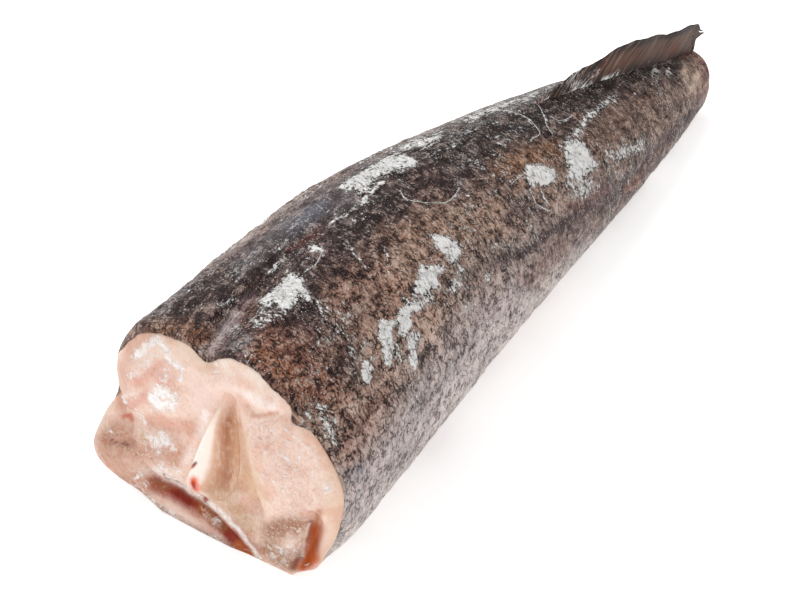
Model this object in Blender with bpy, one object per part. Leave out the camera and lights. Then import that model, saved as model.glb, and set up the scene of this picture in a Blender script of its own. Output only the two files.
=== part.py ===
"""Frozen headless hake: a headed, gutted and frozen fish lying on its belly.

Fish coordinates used below: X across the fish, Y from the head cut (0) to the
tail, Z up from the belly. The finished pieces are then moved so that the
middle of the fish's footprint is the origin.
"""

import math

import bmesh
import bpy
import numpy as np
from mathutils.geometry import delaunay_2d_cdt

MM = 0.001

# ------------------------------------------------------------ driving sizes
LENGTH = 330.0 * MM          # head cut to tail cut, along the backbone
MIDDLE = (-2.24 * MM, 165.64 * MM)   # middle of the footprint in fish X and Y

# The body's sections, as fractions of LENGTH from the head cut.
STATIONS = (0.0, 0.12, 0.30, 0.50, 0.70, 0.87, 1.0)
HALF_WIDTHS = [v * MM for v in (47.0, 47.5, 45.0, 39.0, 32.0, 23.5, 14.5)]
HEIGHTS = [v * MM for v in (78.5, 80.0, 78.5, 68.5, 55.0, 41.0, 30.5)]
WIDEST_LEVELS = (0.41, 0.45, 0.52, 0.46, 0.42, 0.42, 0.40)   # of the height
RIDGE_LEANS = [v * MM for v in (-0.5, -5.0, -8.5, -5.5, -2.0, 0.5, 1.0)]
SWAY = -5.8 * MM             # sideways bow of the fish at mid length
BACK_ROUNDNESS = 2.1         # superellipse power of the back, 2 is an ellipse
BELLY_ROUNDNESS = 3.2        # the frozen belly is squarer
BELLY_FLAT = 1.2 * MM        # depth pressed flat against the freezer tray

# Head cut: how far it leans back per unit of height and of width.
FACE_RAKE = 0.19
FACE_SKEW = 0.14
RIM_ROUND = 1.4 * MM         # rounded flesh edge of the head cut
RIM_ROUND_WIDTH = 0.10       # its width, as a fraction of the section
BELLY_SHARP_SPREAD = 48.0    # degrees each side of the belly where the edge stays sharp
LOBE_ROUND = 4.2 * MM        # extra rounding of the left back muscle
LOBE_ROUND_ANGLE = 150.0     # where round the section it is, in degrees
LOBE_ROUND_SPREAD = 24.0
RIM_FADE = 14.0 * MM         # how far the cut's relief runs on along the skin
TAIL_DOME = 3.2 * MM         # flesh bulging from the tail cut
TAIL_RAKE = 0.16             # how far the tail cut leans back per unit of height

# Outline of the head cut: name, place round the section (degrees, 0 is the
# right side and 90 the ridge), half spread, height and run along the body (mm).
RIM_FORMS = (
    ("left belly flap", 202.0, 12.0, 5.5, 24.0),
    ("step above the flap", 166.0, 13.0, -5.6, 18.0),
    ("left back muscle", 122.0, 13.0, 3.4, 30.0),
    ("ridge notch", 94.0, 6.0, -5.0, 40.0),
    ("right back muscle", 72.0, 13.0, 2.4, 35.0),
    ("shoulder nick", 49.0, 5.0, -4.2, 10.0),
    ("right flank", 17.0, 14.0, 2.0, 40.0),
    ("right flap", 341.0, 11.0, -2.4, 7.0),
    ("right heel", 312.0, 5.5, 3.2, 14.0),
    ("left belly", 224.0, 10.0, -2.2, 20.0),
)

# Relief of the head cut in mm, seen square on: x to the right, z up.
# Swells: name, x, z, half width, half height, rise.
FACE_SWELLS = (
    ("left back muscle", -24.0, 57.0, 15.0, 17.0, 3.6),
    ("right back muscle", 25.0, 46.0, 16.0, 22.0, 4.2),
    ("left flap", -38.0, 17.0, 12.0, 8.0, 2.6),
    ("right flap", 44.0, 34.0, 5.0, 15.0, 1.6),
    ("flesh left of the backbone", -17.0, 26.0, 8.0, 8.0, 1.2),
)
# Valleys: name, corner points, half width, depth.
FACE_VALLEYS = (
    ("torn hollow beside the backbone",
     ((4.0, 57.0), (7.5, 47.0), (10.0, 37.0), (12.5, 29.0), (15.0, 22.0)), 4.2, 5.5),
    ("crease above the left flap", ((-42.0, 21.5), (-36.5, 22.5), (-32.8, 25.5)), 1.6, 1.8),
    ("split beside the right flap", ((38.5, 30.0), (37.5, 20.0), (34.0, 8.0)), 3.0, 4.2),
    ("septum between the back muscles", ((-2.5, 74.0), (0.0, 68.0)), 2.4, 1.2),
    ("under the left back muscle", ((-39.0, 39.0), (-33.0, 35.0), (-16.0, 38.0)), 3.4, 2.4),
    ("ledge on the right back muscle", ((12.0, 62.0), (17.0, 61.0), (27.0, 66.0)), 1.8, 1.0),
)
# Lower edge of the flesh, over the emptied belly, and the belly wall under it.
CAVITY_EDGE = ((-27.0, 19.0), (-21.6, 14.6), (-13.3, 16.2), (-9.0, 13.6), (-3.0, 14.6),
               (4.0, 9.8), (11.4, 5.6), (18.7, 1.5))
CAVITY_DEPTH = 5.5           # mm behind the flesh
CAVITY_WIDTH = 3.2
CAVITY_LIP = 0.8             # how far the flesh takes to drop off at its edge
CAVITY_FLOOR = 5.0           # the recess runs out over this height from the tray
BELLY_WALL_PROUD = 0.5       # the belly wall's lower edge comes forward again

# Low forms along the body: ridge line, folded front fin and flank crease.
CREST_HEIGHTS = [v * MM for v in (0.0, -0.8, 0.2, 1.0, 1.2, 1.0, 0.4)]
CREST_SPREAD = 7.0           # degrees
FOLD_HEIGHTS = [v * MM for v in (0.0, 1.3, 1.1, 0.0, 0.0, 0.0, 0.0)]
FOLD_ANGLE = 103.0           # the front fin lies folded left of the ridge
FOLD_SPREAD = 8.0
SHOULDER_HEIGHTS = [v * MM for v in (1.2, -1.2, -2.2, -1.4, -0.4, 0.0, 0.0)]
SHOULDER_ANGLE = 138.0       # the left shoulder is flatter than the right one
SHOULDER_SPREAD = 26.0
CREASE_LEVELS = (0.70, 0.72, 0.74, 0.645, 0.46, 0.53, 0.62)   # of the height
CREASE_DEPTHS = [v * MM for v in (0.0, 0.0, 0.4, 1.0, 1.1, 0.9, 0.3)]
CREASE_SPREAD = 0.07         # of the height

# Backbone: its outline at the head cut, a broken wedge with its thin spine on
# top, in mm; towards the tail it shrinks and settles at the tail's middle.
BONE_OUTLINE = ((-10.0, 18.6), (-4.0, 16.0), (4.0, 18.0), (8.0, 24.0), (8.6, 31.0), (7.4, 39.0),
                (5.6, 48.0), (2.9, 60.5), (1.8, 60.5), (-0.6, 50.0), (-4.0, 40.0), (-7.4, 28.0))
BONE_HEAD_MIDDLE = (0.0, 34.0)
BONE_TAIL_MIDDLE = (0.8, 13.0)
BONE_TAIL_SIZE = 0.28        # its size at the tail, of that at the head
BONE_PROUD = 1.3 * MM        # its left edge stands out of the flesh
BONE_SLOPE = 0.34            # its broken side falls back to the right
BONE_GAP = 0.3 * MM          # clearance between bone and flesh
CHANNEL_OVERSHOOT = 0.05     # the channel's cutter runs past both cuts, of its length

# Rear back fin: distance from the head cut and height of its edge (mm).
FIN_EDGE = ((199.0, 62.0), (208.0, 62.8), (218.0, 63.4), (227.0, 63.2), (238.0, 62.4), (246.0, 62.5),
            (254.0, 62.1), (261.0, 61.4), (268.0, 60.2), (274.0, 59.6), (286.0, 56.3), (296.0, 53.4),
            (303.5, 50.0), (310.0, 49.2), (319.5, 47.3), (326.5, 45.7), (335.5, 42.5), (338.0, 38.6),
            (344.0, 35.2))
FIN_TAIL_UNDERSIDE = ((330.0, 31.0), (336.0, 31.6), (338.5, 33.6), (344.0, 34.0))
FIN_BASE_THICKNESS = 2.0 * MM
FIN_EDGE_THICKNESS = 0.9 * MM
FIN_LEAST_HEIGHT = 0.8 * MM
FIN_WAVE = 0.7 * MM          # the thin web bends a little from side to side
FIN_WAVE_LENGTH = 34.0 * MM
FIN_GAP = 0.35 * MM          # clearance between fin and ridge

# Mesh fineness.
SIDES = 60
RINGS = 34
EDGE_RINGS = (0.97, 0.93)    # rings just inside the rim of the head cut
FACE_GRID = 2.9              # spacing of the points on the head cut, in mm
CREASE_POINT_SPACING = 2.6   # along the creases of the head cut, in mm
CREASE_CLEARANCE = 1.7       # no grid point comes closer to a crease's points, in mm
EDGE_CLEARANCE = 1.0         # or to the rings inside the rim
TAIL_RINGS = (0.92, 0.75, 0.5, 0.25)
RIDGE_STEPS = 120
BONE_STEPS = 8
FIN_COLUMNS = 48
FIN_ROWS = 6

COLOURS = {
    "skin": (0.13, 0.10, 0.085, 0.42),
    "flesh": (0.80, 0.58, 0.47, 0.34),
    "bone": (0.86, 0.79, 0.68, 0.45),
    "fin": (0.12, 0.075, 0.055, 0.5),
}


# ------------------------------------------------------------------ shapes
def along(values, u):
    """Smooth curve through values at STATIONS, read at the fractions u."""
    stations, values, u = np.array(STATIONS), np.array(values, float), np.asarray(u, float)
    slopes = np.gradient(values, stations)
    k = np.clip(np.searchsorted(stations, u, side="right") - 1, 0, len(stations) - 2)
    span = stations[k + 1] - stations[k]
    t = (u - stations[k]) / span
    start, end = values[k], values[k + 1]
    return ((2 * t**3 - 3 * t**2 + 1) * start + (t**3 - 2 * t**2 + t) * span * slopes[k]
            + (3 * t**2 - 2 * t**3) * end + (t**3 - t**2) * span * slopes[k + 1])


def hump(distance, spread):
    """Bell of height 1."""
    return np.exp(-(distance / spread) ** 2)


def turn_between(angle, other):
    """Difference of two angles in degrees, the short way round."""
    return (angle - other + 180.0) % 360.0 - 180.0


def to_line(points, x, z):
    """Distance to a line through points, and which side: positive above it."""
    nearest = np.full(np.shape(x), np.inf)
    side = np.zeros(np.shape(x))
    for (x0, z0), (x1, z1) in zip(points[:-1], points[1:]):
        run_x, run_z = x1 - x0, z1 - z0
        t = np.clip(((x - x0) * run_x + (z - z0) * run_z) / (run_x**2 + run_z**2), 0, 1)
        off_x, off_z = x - x0 - t * run_x, z - z0 - t * run_z
        distance = np.hypot(off_x, off_z)
        closer = distance < nearest
        nearest = np.where(closer, distance, nearest)
        side = np.where(closer, np.sign(off_z * run_x - off_x * run_z), side)
    return nearest, side


def section(u, angle):
    """Outline of the body at u: x and z at each angle in degrees."""
    width, height = along(HALF_WIDTHS, u), along(HEIGHTS, u)
    level = along(WIDEST_LEVELS, u) * height
    cos, sin = np.cos(np.radians(angle)), np.sin(np.radians(angle))
    power = np.where(sin >= 0, BACK_ROUNDNESS, BELLY_ROUNDNESS)
    rise = np.where(sin >= 0, height - level, level)
    radius = (np.abs(cos / width) ** power + np.abs(sin / rise) ** power) ** (-1 / power)
    distance = u * LENGTH
    for _, place, spread, size, run in RIM_FORMS:
        radius = radius + size * MM * hump(turn_between(angle, place), spread) * hump(distance, run * MM)
    radius = radius + along(CREST_HEIGHTS, u) * hump(turn_between(angle, 90.0), CREST_SPREAD)
    radius = radius + along(FOLD_HEIGHTS, u) * hump(turn_between(angle, FOLD_ANGLE), FOLD_SPREAD)
    radius = radius + along(SHOULDER_HEIGHTS, u) * hump(turn_between(angle, SHOULDER_ANGLE), SHOULDER_SPREAD)
    share = (level + radius * sin) / height
    radius = radius - along(CREASE_DEPTHS, u) * hump(share - along(CREASE_LEVELS, u), CREASE_SPREAD)
    x, z = radius * cos, level + radius * sin
    z = np.maximum(z - BELLY_FLAT, 0.0)
    return x + along(RIDGE_LEANS, u) * (z / height) ** 2 + SWAY * 4 * u * (1 - u), z


def face_relief(x, z):
    """How far the head cut lies behind its plane at x, z; raised is negative."""
    x, z = x / MM, z / MM
    depth = np.zeros(np.shape(x))
    for _, x0, z0, half_width, half_height, rise in FACE_SWELLS:
        depth = depth - rise * MM * np.exp(-((x - x0) / half_width) ** 2 - ((z - z0) / half_height) ** 2)
    for _, points, half_width, drop in FACE_VALLEYS:
        depth = depth + drop * MM * hump(to_line(points, x, z)[0], half_width)
    distance, side = to_line(CAVITY_EDGE, x, z)
    below = np.where(side < 0, distance, 0.0)
    start, end = CAVITY_EDGE[0][0], CAVITY_EDGE[-1][0]
    in_reach = np.clip((x - start) / 5 + 1, 0, 1) * np.clip((end - x) / 5 + 1, 0, 1)
    slot = np.clip(below / CAVITY_LIP, 0, 1) * hump(below - CAVITY_LIP, CAVITY_WIDTH)
    slot = slot * np.clip(z / CAVITY_FLOOR, 0, 1)
    wall = np.clip(below / CAVITY_WIDTH - 1, 0, 1)
    return depth + in_reach * (CAVITY_DEPTH * slot - BELLY_WALL_PROUD * wall) * MM


def rim_rounding(share, angle):
    """Rounded edge of the head cut; share is 1 at the rim and 0 at the middle."""
    def quarter_round(width):
        t = np.clip((share - 1 + width) / width, 0, 1)
        return 1 - np.sqrt(1 - 0.96 * t**2)
    edge = RIM_ROUND * (1 - hump(turn_between(angle, 270.0), BELLY_SHARP_SPREAD))
    lobe = LOBE_ROUND * hump(turn_between(angle, LOBE_ROUND_ANGLE), LOBE_ROUND_SPREAD)
    return edge * quarter_round(RIM_ROUND_WIDTH) + lobe * quarter_round(3 * RIM_ROUND_WIDTH)


def face_plane(x, z):
    """Y of the head cut before its relief."""
    return FACE_RAKE * (z - 0.5 * HEIGHTS[0]) + FACE_SKEW * x


def face_depth(x, z):
    """Y of the head cut."""
    middle = WIDEST_LEVELS[0] * HEIGHTS[0]
    angle = np.degrees(np.arctan2(z - middle, x))
    rim_x, rim_z = section(0.0, angle)
    share = np.hypot(x, z - middle) / np.hypot(rim_x, rim_z - middle)
    return face_plane(x, z) + face_relief(x, z) + rim_rounding(np.minimum(share, 1), angle)


def tail_lean(z):
    """How far the tail cut lies behind its middle at a height."""
    return TAIL_RAKE * (z - 0.5 * HEIGHTS[-1])


def skin_ring(u, angle):
    """One ring of the body's outside, as points in fish coordinates."""
    x, z = section(u, angle)
    rim_x, rim_z = section(0.0, angle)
    relief = face_relief(rim_x, rim_z) + rim_rounding(1.0, angle)
    y = u * LENGTH + face_plane(x, z) * (1 - u) ** 2 + tail_lean(z) * u**6
    y = y + relief * np.exp(-u * LENGTH / RIM_FADE) * (1 - u)
    return np.stack([x, y, z], -1)


def tail_ring(share, angle):
    """One ring of the domed tail cut."""
    x, z = section(1.0, angle)
    middle_x, level = RIDGE_LEANS[-1] * 0.2, WIDEST_LEVELS[-1] * HEIGHTS[-1]
    x, z = middle_x + (x - middle_x) * share, level + (z - level) * share
    y = LENGTH + tail_lean(z) + TAIL_DOME * math.sqrt(1 - share**2)
    return np.stack([x, y, z], -1)


def ridge(distances):
    """X and Z of the top of the back at distances from the head cut."""
    x, y, z = np.array([skin_ring(u, np.array([90.0]))[0] for u in np.linspace(0, 1, RIDGE_STEPS)]).T
    return np.interp(distances, y, x), np.interp(distances, y, z)


# ------------------------------------------------------------------ objects
def make_material(name):
    red, green, blue, roughness = COLOURS[name]
    material = bpy.data.materials.new(name)
    material.use_nodes = True
    shader = material.node_tree.nodes["Principled BSDF"]
    shader.inputs["Base Color"].default_value = (red, green, blue, 1.0)
    shader.inputs["Roughness"].default_value = roughness
    shader.inputs["Metallic"].default_value = 0.0
    return material


def add_tube(mesh, rings, material_index=0):
    """Faces between rings of points; returns the rings' vertices."""
    loops = [[mesh.verts.new(point) for point in ring] for ring in rings]
    count = len(loops[0])
    for first, second in zip(loops[:-1], loops[1:]):
        for j in range(count):
            n = (j + 1) % count
            mesh.faces.new((first[j], first[n], second[n], second[j])).material_index = material_index
    return loops


def close_end(mesh, loop, material_index=0):
    """Fan of triangles over an end ring."""
    middle = mesh.verts.new(np.mean([vert.co for vert in loop], axis=0))
    for j in range(len(loop)):
        mesh.faces.new((loop[j], loop[(j + 1) % len(loop)], middle)).material_index = material_index


def add_object(name, mesh, materials):
    bmesh.ops.recalc_face_normals(mesh, faces=mesh.faces)
    data = bpy.data.meshes.new(name)
    mesh.to_mesh(data)
    mesh.free()
    for material in materials:
        data.materials.append(material)
    data.shade_smooth()
    data.set_sharp_from_angle(angle=math.radians(40))
    piece = bpy.data.objects.new(name, data)
    piece.location = (-MIDDLE[0], -MIDDLE[1], 0.0)
    bpy.context.scene.collection.objects.link(piece)
    return piece


def points_on_creases():
    """Points along the valleys and the cavity's edge, so that they come out crisp."""
    lines = [(points, (-half_width, 0.0, half_width)) for _, points, half_width, _ in FACE_VALLEYS]
    lines.append((CAVITY_EDGE, (0.15, -CAVITY_LIP, -CAVITY_WIDTH)))
    found = []
    for points, offsets in lines:
        for (x0, z0), (x1, z1) in zip(points[:-1], points[1:]):
            length = math.hypot(x1 - x0, z1 - z0)
            steps = max(1, round(length / CREASE_POINT_SPACING))
            for k in range(steps):
                x, z = x0 + (x1 - x0) * (k + 0.5) / steps, z0 + (z1 - z0) * (k + 0.5) / steps
                found += [(x - (z1 - z0) / length * off, z + (x1 - x0) / length * off) for off in offsets]
    return found


def points_on_face():
    """Points of the head cut inside its rim: edge rings, creases and a grid."""
    angle = np.arange(SIDES) * 360.0 / SIDES
    middle = WIDEST_LEVELS[0] * HEIGHTS[0] / MM
    rim_x, rim_z = (v / MM for v in section(0.0, angle))
    kept = []
    for share in EDGE_RINGS:
        kept += list(zip(rim_x * share, middle + (rim_z - middle) * share))
    grid = []
    for row, z in enumerate(np.arange(0, HEIGHTS[0] / MM, FACE_GRID * math.sqrt(0.75))):
        for x in np.arange(-60, 60, FACE_GRID) + (row % 2) * FACE_GRID / 2:
            grid.append((x, z))
    for candidates, clearance in ((points_on_creases(), CAVITY_LIP), (grid, CREASE_CLEARANCE)):
        for x, z in candidates:
            place = math.degrees(math.atan2(z - middle, x))
            edge_x, edge_z = (v / MM for v in section(0.0, place))
            reach = EDGE_RINGS[-1] * math.hypot(edge_x, edge_z - middle) - EDGE_CLEARANCE
            clear = all(math.hypot(x - a, z - b) > clearance for a, b in kept)
            if clear and math.hypot(x, z - middle) < reach:
                kept.append((x, z))
    return kept


def fill_face(mesh, rim, material_index):
    """Head cut: the rim and the points inside it, triangulated and raised to the relief."""
    flat = [(vert.co.x / MM, vert.co.z / MM) for vert in rim] + points_on_face()
    corners, _, triangles, sources, _, _ = delaunay_2d_cdt(flat, [], [list(range(len(rim)))], 1, 1e-5)
    verts = []
    for corner, source in zip(corners, sources):
        if source and source[0] < len(rim):
            verts.append(rim[source[0]])
        else:
            x, z = corner.x * MM, corner.y * MM
            verts.append(mesh.verts.new((x, float(face_depth(x, z)), z)))
    for triangle in triangles:
        mesh.faces.new([verts[i] for i in triangle]).material_index = material_index


def make_body(skin, flesh):
    angle = np.arange(SIDES) * 360.0 / SIDES
    mesh = bmesh.new()
    loops = add_tube(mesh, [skin_ring((k / (RINGS - 1)) ** 1.3, angle) for k in range(RINGS)])
    fill_face(mesh, loops[0], 1)
    dome = add_tube(mesh, [tail_ring(share, angle) for share in (1.0,) + TAIL_RINGS], 1)
    close_end(mesh, dome[-1], 1)
    bmesh.ops.remove_doubles(mesh, verts=loops[-1] + dome[0], dist=0.01 * MM)
    return add_object("body", mesh, (skin, flesh))


def grown(outline, grow):
    """Outline with each side moved out by grow; it runs anticlockwise."""
    points = np.array(outline)
    side = np.roll(points, -1, axis=0) - points
    out = np.stack([side[:, 1], -side[:, 0]], -1) / np.hypot(*side.T)[:, None]
    corner = out + np.roll(out, 1, axis=0)
    return points + grow * 2 * corner / (corner**2).sum(-1, keepdims=True)


def bone_ring(share, grow):
    """Ring of the backbone at share of its length; its ends follow the cuts."""
    size = 1 + (BONE_TAIL_SIZE - 1) * share
    head, tail = np.array(BONE_HEAD_MIDDLE), np.array(BONE_TAIL_MIDDLE)
    outline = grown((np.array(BONE_OUTLINE) - head) * size + head + (tail - head) * share, grow) * MM
    x, z = outline.T
    front = face_plane(x, z) - BONE_PROUD + BONE_SLOPE * (x - bone_left_edge(z))
    back = LENGTH + TAIL_DOME
    y = front * (1 - share) + back * share
    return np.stack([x + SWAY * 4 * share * (1 - share), y, z], -1)


def bone_left_edge(z):
    """X of the backbone's left edge at the head cut."""
    low, high = np.array(BONE_OUTLINE[0]) * MM, np.array(BONE_OUTLINE[8]) * MM
    return low[0] + (high[0] - low[0]) * np.clip((z - low[1]) / (high[1] - low[1]), 0, 1)


def make_backbone(name, bone, grow=0.0, overshoot=0.0):
    shares = [k / BONE_STEPS for k in range(BONE_STEPS + 1)]
    if overshoot:
        shares = [-overshoot] + shares + [1 + overshoot]
    mesh = bmesh.new()
    loops = add_tube(mesh, [bone_ring(share, grow / MM) for share in shares])
    close_end(mesh, loops[0])
    close_end(mesh, loops[-1])
    return add_object(name, mesh, (bone,))


def bore_for_backbone(body, bone):
    """Channel through the flesh that the backbone lies in."""
    cutter = make_backbone("backbone_channel", bone, BONE_GAP, CHANNEL_OVERSHOOT)
    cutter.hide_render = True
    cutter.display_type = "WIRE"
    cut = body.modifiers.new("backbone channel", "BOOLEAN")
    cut.operation = "DIFFERENCE"
    cut.solver = "EXACT"
    cut.object = cutter


def fin_height(points, distance):
    places, heights = np.array(points).T * MM
    return np.interp(distance, places, heights)


def make_fin(name, fin):
    """Rear back fin: a thin wavy web, thick at its base on the ridge."""
    first, last = FIN_EDGE[0][0] * MM, FIN_EDGE[-1][0] * MM
    distances = np.linspace(first, last, FIN_COLUMNS)
    ridge_x, ridge_z = ridge(distances)
    underside = fin_height(FIN_TAIL_UNDERSIDE, distances)
    over_tail = distances > FIN_TAIL_UNDERSIDE[0][0] * MM
    low = np.where(over_tail, np.maximum(underside, ridge_z + FIN_GAP), ridge_z + FIN_GAP)
    high = np.maximum(fin_height(FIN_EDGE, distances), low + FIN_LEAST_HEIGHT)
    mesh = bmesh.new()
    sides = []
    for hand in (-1, 1):
        grid = []
        for k, distance in enumerate(distances):
            share = np.linspace(0, 1, FIN_ROWS)
            thickness = FIN_BASE_THICKNESS + (FIN_EDGE_THICKNESS - FIN_BASE_THICKNESS) * share
            wave = FIN_WAVE * share * math.sin(2 * math.pi * distance / FIN_WAVE_LENGTH)
            x = ridge_x[k] + wave + hand * thickness / 2
            z = low[k] + (high[k] - low[k]) * share
            grid.append([mesh.verts.new((x[r], distance, z[r])) for r in range(FIN_ROWS)])
        sides.append(grid)
    left, right = sides
    for k in range(FIN_COLUMNS - 1):
        for r in range(FIN_ROWS - 1):
            for grid in (left, right):
                mesh.faces.new((grid[k][r], grid[k + 1][r], grid[k + 1][r + 1], grid[k][r + 1]))
        for r in (0, FIN_ROWS - 1):
            mesh.faces.new((left[k][r], left[k + 1][r], right[k + 1][r], right[k][r]))
    for k in (0, FIN_COLUMNS - 1):
        for r in range(FIN_ROWS - 1):
            mesh.faces.new((left[k][r], left[k][r + 1], right[k][r + 1], right[k][r]))
    return add_object(name, mesh, (fin,))


def main():
    for old in list(bpy.data.objects):
        bpy.data.objects.remove(old, do_unlink=True)
    materials = {name: make_material(name) for name in COLOURS}
    body = make_body(materials["skin"], materials["flesh"])
    make_backbone("backbone", materials["bone"])
    bore_for_backbone(body, materials["flesh"])
    make_fin("dorsal_fin", materials["fin"])


main()
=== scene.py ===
import itertools
import math

import bpy
import numpy as np
from bpy.props import FloatProperty, FloatVectorProperty, IntProperty, PointerProperty
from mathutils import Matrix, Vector
from mathutils.bvhtree import BVHTree


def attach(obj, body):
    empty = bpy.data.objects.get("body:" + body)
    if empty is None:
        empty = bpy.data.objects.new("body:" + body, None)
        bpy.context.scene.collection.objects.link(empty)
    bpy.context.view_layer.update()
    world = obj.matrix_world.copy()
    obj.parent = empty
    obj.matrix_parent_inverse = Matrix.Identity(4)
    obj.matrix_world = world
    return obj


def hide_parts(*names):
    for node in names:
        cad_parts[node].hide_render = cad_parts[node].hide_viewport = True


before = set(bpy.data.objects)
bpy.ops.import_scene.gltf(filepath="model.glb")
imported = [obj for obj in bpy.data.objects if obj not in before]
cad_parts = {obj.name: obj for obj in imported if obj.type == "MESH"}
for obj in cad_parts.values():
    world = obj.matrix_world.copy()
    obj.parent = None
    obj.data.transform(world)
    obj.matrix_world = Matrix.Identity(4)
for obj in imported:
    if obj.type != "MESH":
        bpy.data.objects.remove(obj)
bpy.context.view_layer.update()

bl_info = {
    "name": "Frozen Headless Hake",
    "version": (1, 0, 0),
    "blender": (4, 5, 0),
    "location": "3D View > Sidebar > Hake",
    "description": "Dresses the hake's solids with skin, cut flesh, bone, fin and frost",
    "category": "Add Mesh",
}

MM = 0.001

# ------------------------------------------------- shape of the fish's solids
# Fish coordinates: X across, Y from the head cut (0) to the tail, Z up.
LENGTH = 330.0 * MM
MIDDLE = np.array((-2.24, 165.64, 0.0)) * MM   # middle of the footprint, the part's origin

# Fractions of LENGTH at which the lists of seven values below hold.
STATIONS = (0.0, 0.12, 0.30, 0.50, 0.70, 0.87, 1.0)
HALF_WIDTHS = [v * MM for v in (47.0, 47.5, 45.0, 39.0, 32.0, 23.5, 14.5)]
HEIGHTS = [v * MM for v in (78.5, 80.0, 78.5, 68.5, 55.0, 41.0, 30.5)]
WIDEST_LEVELS = (0.41, 0.45, 0.52, 0.46, 0.42, 0.42, 0.40)
RIDGE_LEANS = [v * MM for v in (-0.5, -5.0, -8.5, -5.5, -2.0, 0.5, 1.0)]
SWAY = -5.8 * MM
BACK_ROUNDNESS = 2.1
BELLY_ROUNDNESS = 3.2
BELLY_FLAT = 1.2 * MM

# The head cut: its slant, its rounded rim and the lobe above the left flap.
FACE_RAKE = 0.19
FACE_SKEW = 0.14
RIM_ROUND = 1.4 * MM
RIM_ROUND_WIDTH = 0.10
BELLY_SHARP_SPREAD = 48.0
LOBE_ROUND = 4.2 * MM
LOBE_ROUND_ANGLE = 150.0
LOBE_ROUND_SPREAD = 24.0
RIM_FADE = 14.0 * MM
FACE_REACH = 40.0 * MM       # from the middle of the head cut to its rim
LAP = 2.2 * MM               # how far the skin reaches over the rim, along the back
LAP_ANGLES = (52.0, 64.0, 138.0, 152.0)
TAIL_DOME = 3.2 * MM
TAIL_RAKE = 0.16

# Outline of the head cut: name, angle, half spread, height and run (mm).
RIM_FORMS = (
    ("left belly flap", 202.0, 12.0, 5.5, 24.0),
    ("step above the flap", 166.0, 13.0, -5.6, 18.0),
    ("left back muscle", 122.0, 13.0, 3.4, 30.0),
    ("ridge notch", 94.0, 6.0, -5.0, 40.0),
    ("right back muscle", 72.0, 13.0, 2.4, 35.0),
    ("shoulder nick", 49.0, 5.0, -4.2, 10.0),
    ("right flank", 17.0, 14.0, 2.0, 40.0),
    ("right flap", 341.0, 11.0, -2.4, 7.0),
    ("right heel", 312.0, 5.5, 3.2, 14.0),
    ("left belly", 224.0, 10.0, -2.2, 20.0),
)
# Swells of the head cut: name, x, z, half width, half height, rise (mm).
FACE_SWELLS = (
    ("left back muscle", -24.0, 57.0, 15.0, 17.0, 3.6),
    ("right back muscle", 25.0, 46.0, 16.0, 22.0, 4.2),
    ("left flap", -38.0, 17.0, 12.0, 8.0, 2.6),
    ("right flap", 44.0, 34.0, 5.0, 15.0, 1.6),
    ("flesh left of the backbone", -17.0, 26.0, 8.0, 8.0, 1.2),
)
# Valleys of the head cut: name, corner points, half width, depth (mm).
FACE_VALLEYS = (
    ("torn hollow beside the backbone",
     ((4.0, 57.0), (7.5, 47.0), (10.0, 37.0), (12.5, 29.0), (15.0, 22.0)), 4.2, 5.5),
    ("crease above the left flap", ((-42.0, 21.5), (-36.5, 22.5), (-32.8, 25.5)), 1.6, 1.8),
    ("split beside the right flap", ((38.5, 30.0), (37.5, 20.0), (34.0, 8.0)), 3.0, 4.2),
    ("septum between the back muscles", ((-2.5, 74.0), (0.0, 68.0)), 2.4, 1.2),
    ("under the left back muscle", ((-39.0, 39.0), (-33.0, 35.0), (-16.0, 38.0)), 3.4, 2.4),
    ("ledge on the right back muscle", ((12.0, 62.0), (17.0, 61.0), (27.0, 66.0)), 1.8, 1.0),
)
# Upper edge of the belly's hollow (x, z in mm). Its left end lies up to 2 mm higher than the solid's.
CAVITY_EDGE = ((-27.0, 20.0), (-21.6, 16.4), (-13.3, 17.8), (-9.0, 15.6), (-3.0, 15.0),
               (4.0, 9.8), (11.4, 5.6), (18.7, 1.5))
# The hollow's form in mm.
CAVITY_DEPTH = 5.5
CAVITY_WIDTH = 3.2
CAVITY_LIP = 0.8
CAVITY_FLOOR = 5.0
BELLY_WALL_PROUD = 0.5

# Forms along the body at STATIONS: the crest of the back, the folded front fin, the left shoulder, and
# the crease on both flanks, whose levels are shares of the height.
CREST_HEIGHTS = [v * MM for v in (0.0, -0.8, 0.2, 1.0, 1.2, 1.0, 0.4)]
CREST_SPREAD = 7.0
FOLD_HEIGHTS = [v * MM for v in (0.0, 1.3, 1.1, 0.0, 0.0, 0.0, 0.0)]
FOLD_ANGLE = 103.0
FOLD_SPREAD = 8.0
SHOULDER_HEIGHTS = [v * MM for v in (1.2, -1.2, -2.2, -1.4, -0.4, 0.0, 0.0)]
SHOULDER_ANGLE = 138.0
SHOULDER_SPREAD = 26.0
CREASE_LEVELS = (0.70, 0.72, 0.74, 0.645, 0.46, 0.53, 0.62)
CREASE_DEPTHS = [v * MM for v in (0.0, 0.0, 0.4, 1.0, 1.1, 0.9, 0.3)]
CREASE_SPREAD = 0.07

# The bone at the head cut (x, z in mm), from its lower left corner up its right side to the tip's two
# corners, which are points 7 and 8, and down its left side.
BONE_OUTLINE = ((-10.0, 18.6), (-4.0, 16.0), (4.0, 18.0), (8.0, 24.0), (8.6, 31.0), (7.4, 39.0),
                (5.6, 48.0), (2.9, 60.5), (1.8, 60.5), (-0.6, 50.0), (-4.0, 40.0), (-7.4, 28.0))
BONE_HEAD_MIDDLE = (0.0, 34.0)
BONE_TAIL_MIDDLE = (0.8, 13.0)
BONE_TAIL_SIZE = 0.28
BONE_PROUD = 1.3 * MM
BONE_SLOPE = 0.34

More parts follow.
